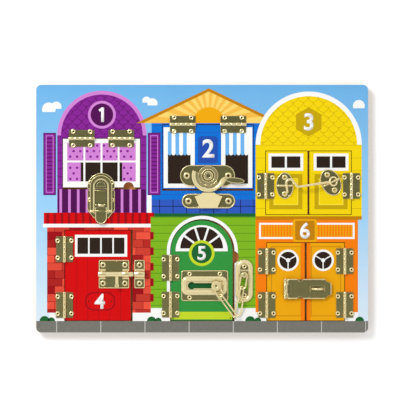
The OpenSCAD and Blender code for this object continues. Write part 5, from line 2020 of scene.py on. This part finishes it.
@dataclass
class Studio:
    """A pale floor, soft light from the upper left and a camera straight above."""

    frame_width: float = 474.8
    centre: tuple[float, float] = (-2.55, 10.27)
    camera_m: float = 2.4
    floor_m: float = 6.0
    floor_drop_m: float = 0.0002
    floor_colour: tuple[float, ...] = (0.85, 0.86, 0.87, 1.0)
    floor_glow: float = 0.16
    sky_strength: float = 0.87
    overhead_at: tuple[float, float] = (0.86, 0.95)
    lamp_at_m: tuple[float, float, float] = (-0.95, 1.0, 1.5)
    lamp_size_m: float = 0.6
    lamp_watts: float = 20.0

    def build(self) -> None:
        """Set the camera, the floor and the lights."""
        bpy.context.scene.view_settings.view_transform = "Standard"
        self._camera()
        self._floor()
        self._sky()
        self._lamp()

    def _camera(self) -> None:
        """Look straight down at the board's face."""
        data = bpy.data.cameras.new("camera")
        data.sensor_width = 36.0
        data.lens = data.sensor_width * self.camera_m / (self.frame_width * MM)
        data.clip_end = 20.0
        camera = bpy.data.objects.new("camera", data)
        camera.location = (self.centre[0] * MM, self.centre[1] * MM, self.camera_m + FACE_Z * MM)
        bpy.context.scene.collection.objects.link(camera)
        bpy.context.scene.camera = camera

    def _floor(self) -> None:
        """Lay a wide pale floor that reads white to the eye and keeps the shadow."""
        Bench.free()
        bpy.ops.mesh.primitive_plane_add(size=self.floor_m, location=(0, 0, -self.floor_drop_m))
        floor = bpy.context.object
        floor.name = "floor"
        material = bpy.data.materials.new("floor")
        material.use_nodes = True
        material.node_tree.nodes.clear()
        w = Wiring(material.node_tree)
        path = w.put("ShaderNodeLightPath").outputs
        seen = w.most(path["Is Camera Ray"], w.most(path["Is Glossy Ray"], path["Is Transmission Ray"]))
        matt = w.put("ShaderNodeBsdfDiffuse", {"Color": self.floor_colour})
        glow = w.put("ShaderNodeEmission", {"Strength": w.mul(seen, self.floor_glow)})
        total = w.put("ShaderNodeAddShader", {0: matt.outputs[0], 1: glow.outputs[0]})
        w.put("ShaderNodeOutputMaterial", {"Surface": total.outputs[0]})
        floor.data.materials.append(material)
        floor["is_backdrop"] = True

    def _sky(self) -> None:
        """Surround the board with a dome that is white at the sides and greyer overhead."""
        world = bpy.data.worlds.new("studio")
        world.use_nodes = True
        world.node_tree.nodes.clear()
        w = Wiring(world.node_tree)
        _, along, up = w.split(w.put("ShaderNodeTexCoord").outputs["Generated"])
        tilt = w.spread(along, 0.0, 1.0, -0.06, 0.0)
        overhead = w.mix(tilt, Tint(255, 250, 240).linear(), Tint(96, 102, 100).linear())
        black, white = Tint(0, 0, 0), Tint(255, 255, 255)
        cap = w.ramp(up, (self.overhead_at[0], black), (self.overhead_at[1], white))
        colour = w.mix(cap, white.linear(), overhead)
        back = w.put("ShaderNodeBackground", {"Color": colour, "Strength": self.sky_strength})
        w.put("ShaderNodeOutputWorld", {"Surface": back.outputs[0]})
        bpy.context.scene.world = world

    def _lamp(self) -> None:
        """Hang a soft lamp that points at the board."""
        data = bpy.data.lights.new("key", "AREA")
        data.size = self.lamp_size_m
        data.energy = self.lamp_watts
        lamp = bpy.data.objects.new("key", data)
        lamp.location = self.lamp_at_m
        lamp.rotation_euler = Vector(self.lamp_at_m).to_track_quat("Z", "Y").to_euler()
        bpy.context.scene.collection.objects.link(lamp)


def corners() -> list[list[float]]:
    """Return the whole object's box as plain lists."""
    return [[float(v) for v in corner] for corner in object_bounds()]


def main() -> None:
    """Build the looks in order and report each piece."""
    logging.basicConfig(level=logging.INFO, format="%(name)s %(message)s")
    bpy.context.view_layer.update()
    assemblies = (
        Studio(), PrintedBoard(), PurpleFlap("flap_1"), BlueFlap("flap_2"), YellowDoor("door_3_left"),
        YellowDoor("door_3_right", shift=2.0), RedDoor("door_4"), GreenDoor("door_5"),
        OrangeDoor("door_6_left"), OrangeDoor("door_6_right", window_x=143.6, hinged_right=True),
        Hinges(), DrawLatch(), SashLock(), CabinHook(), BarrelBolt(), DoorChain(), Hasp(),
    )
    for assembly in assemblies:
        assembly.build()


if __name__ == "__main__":
    main()
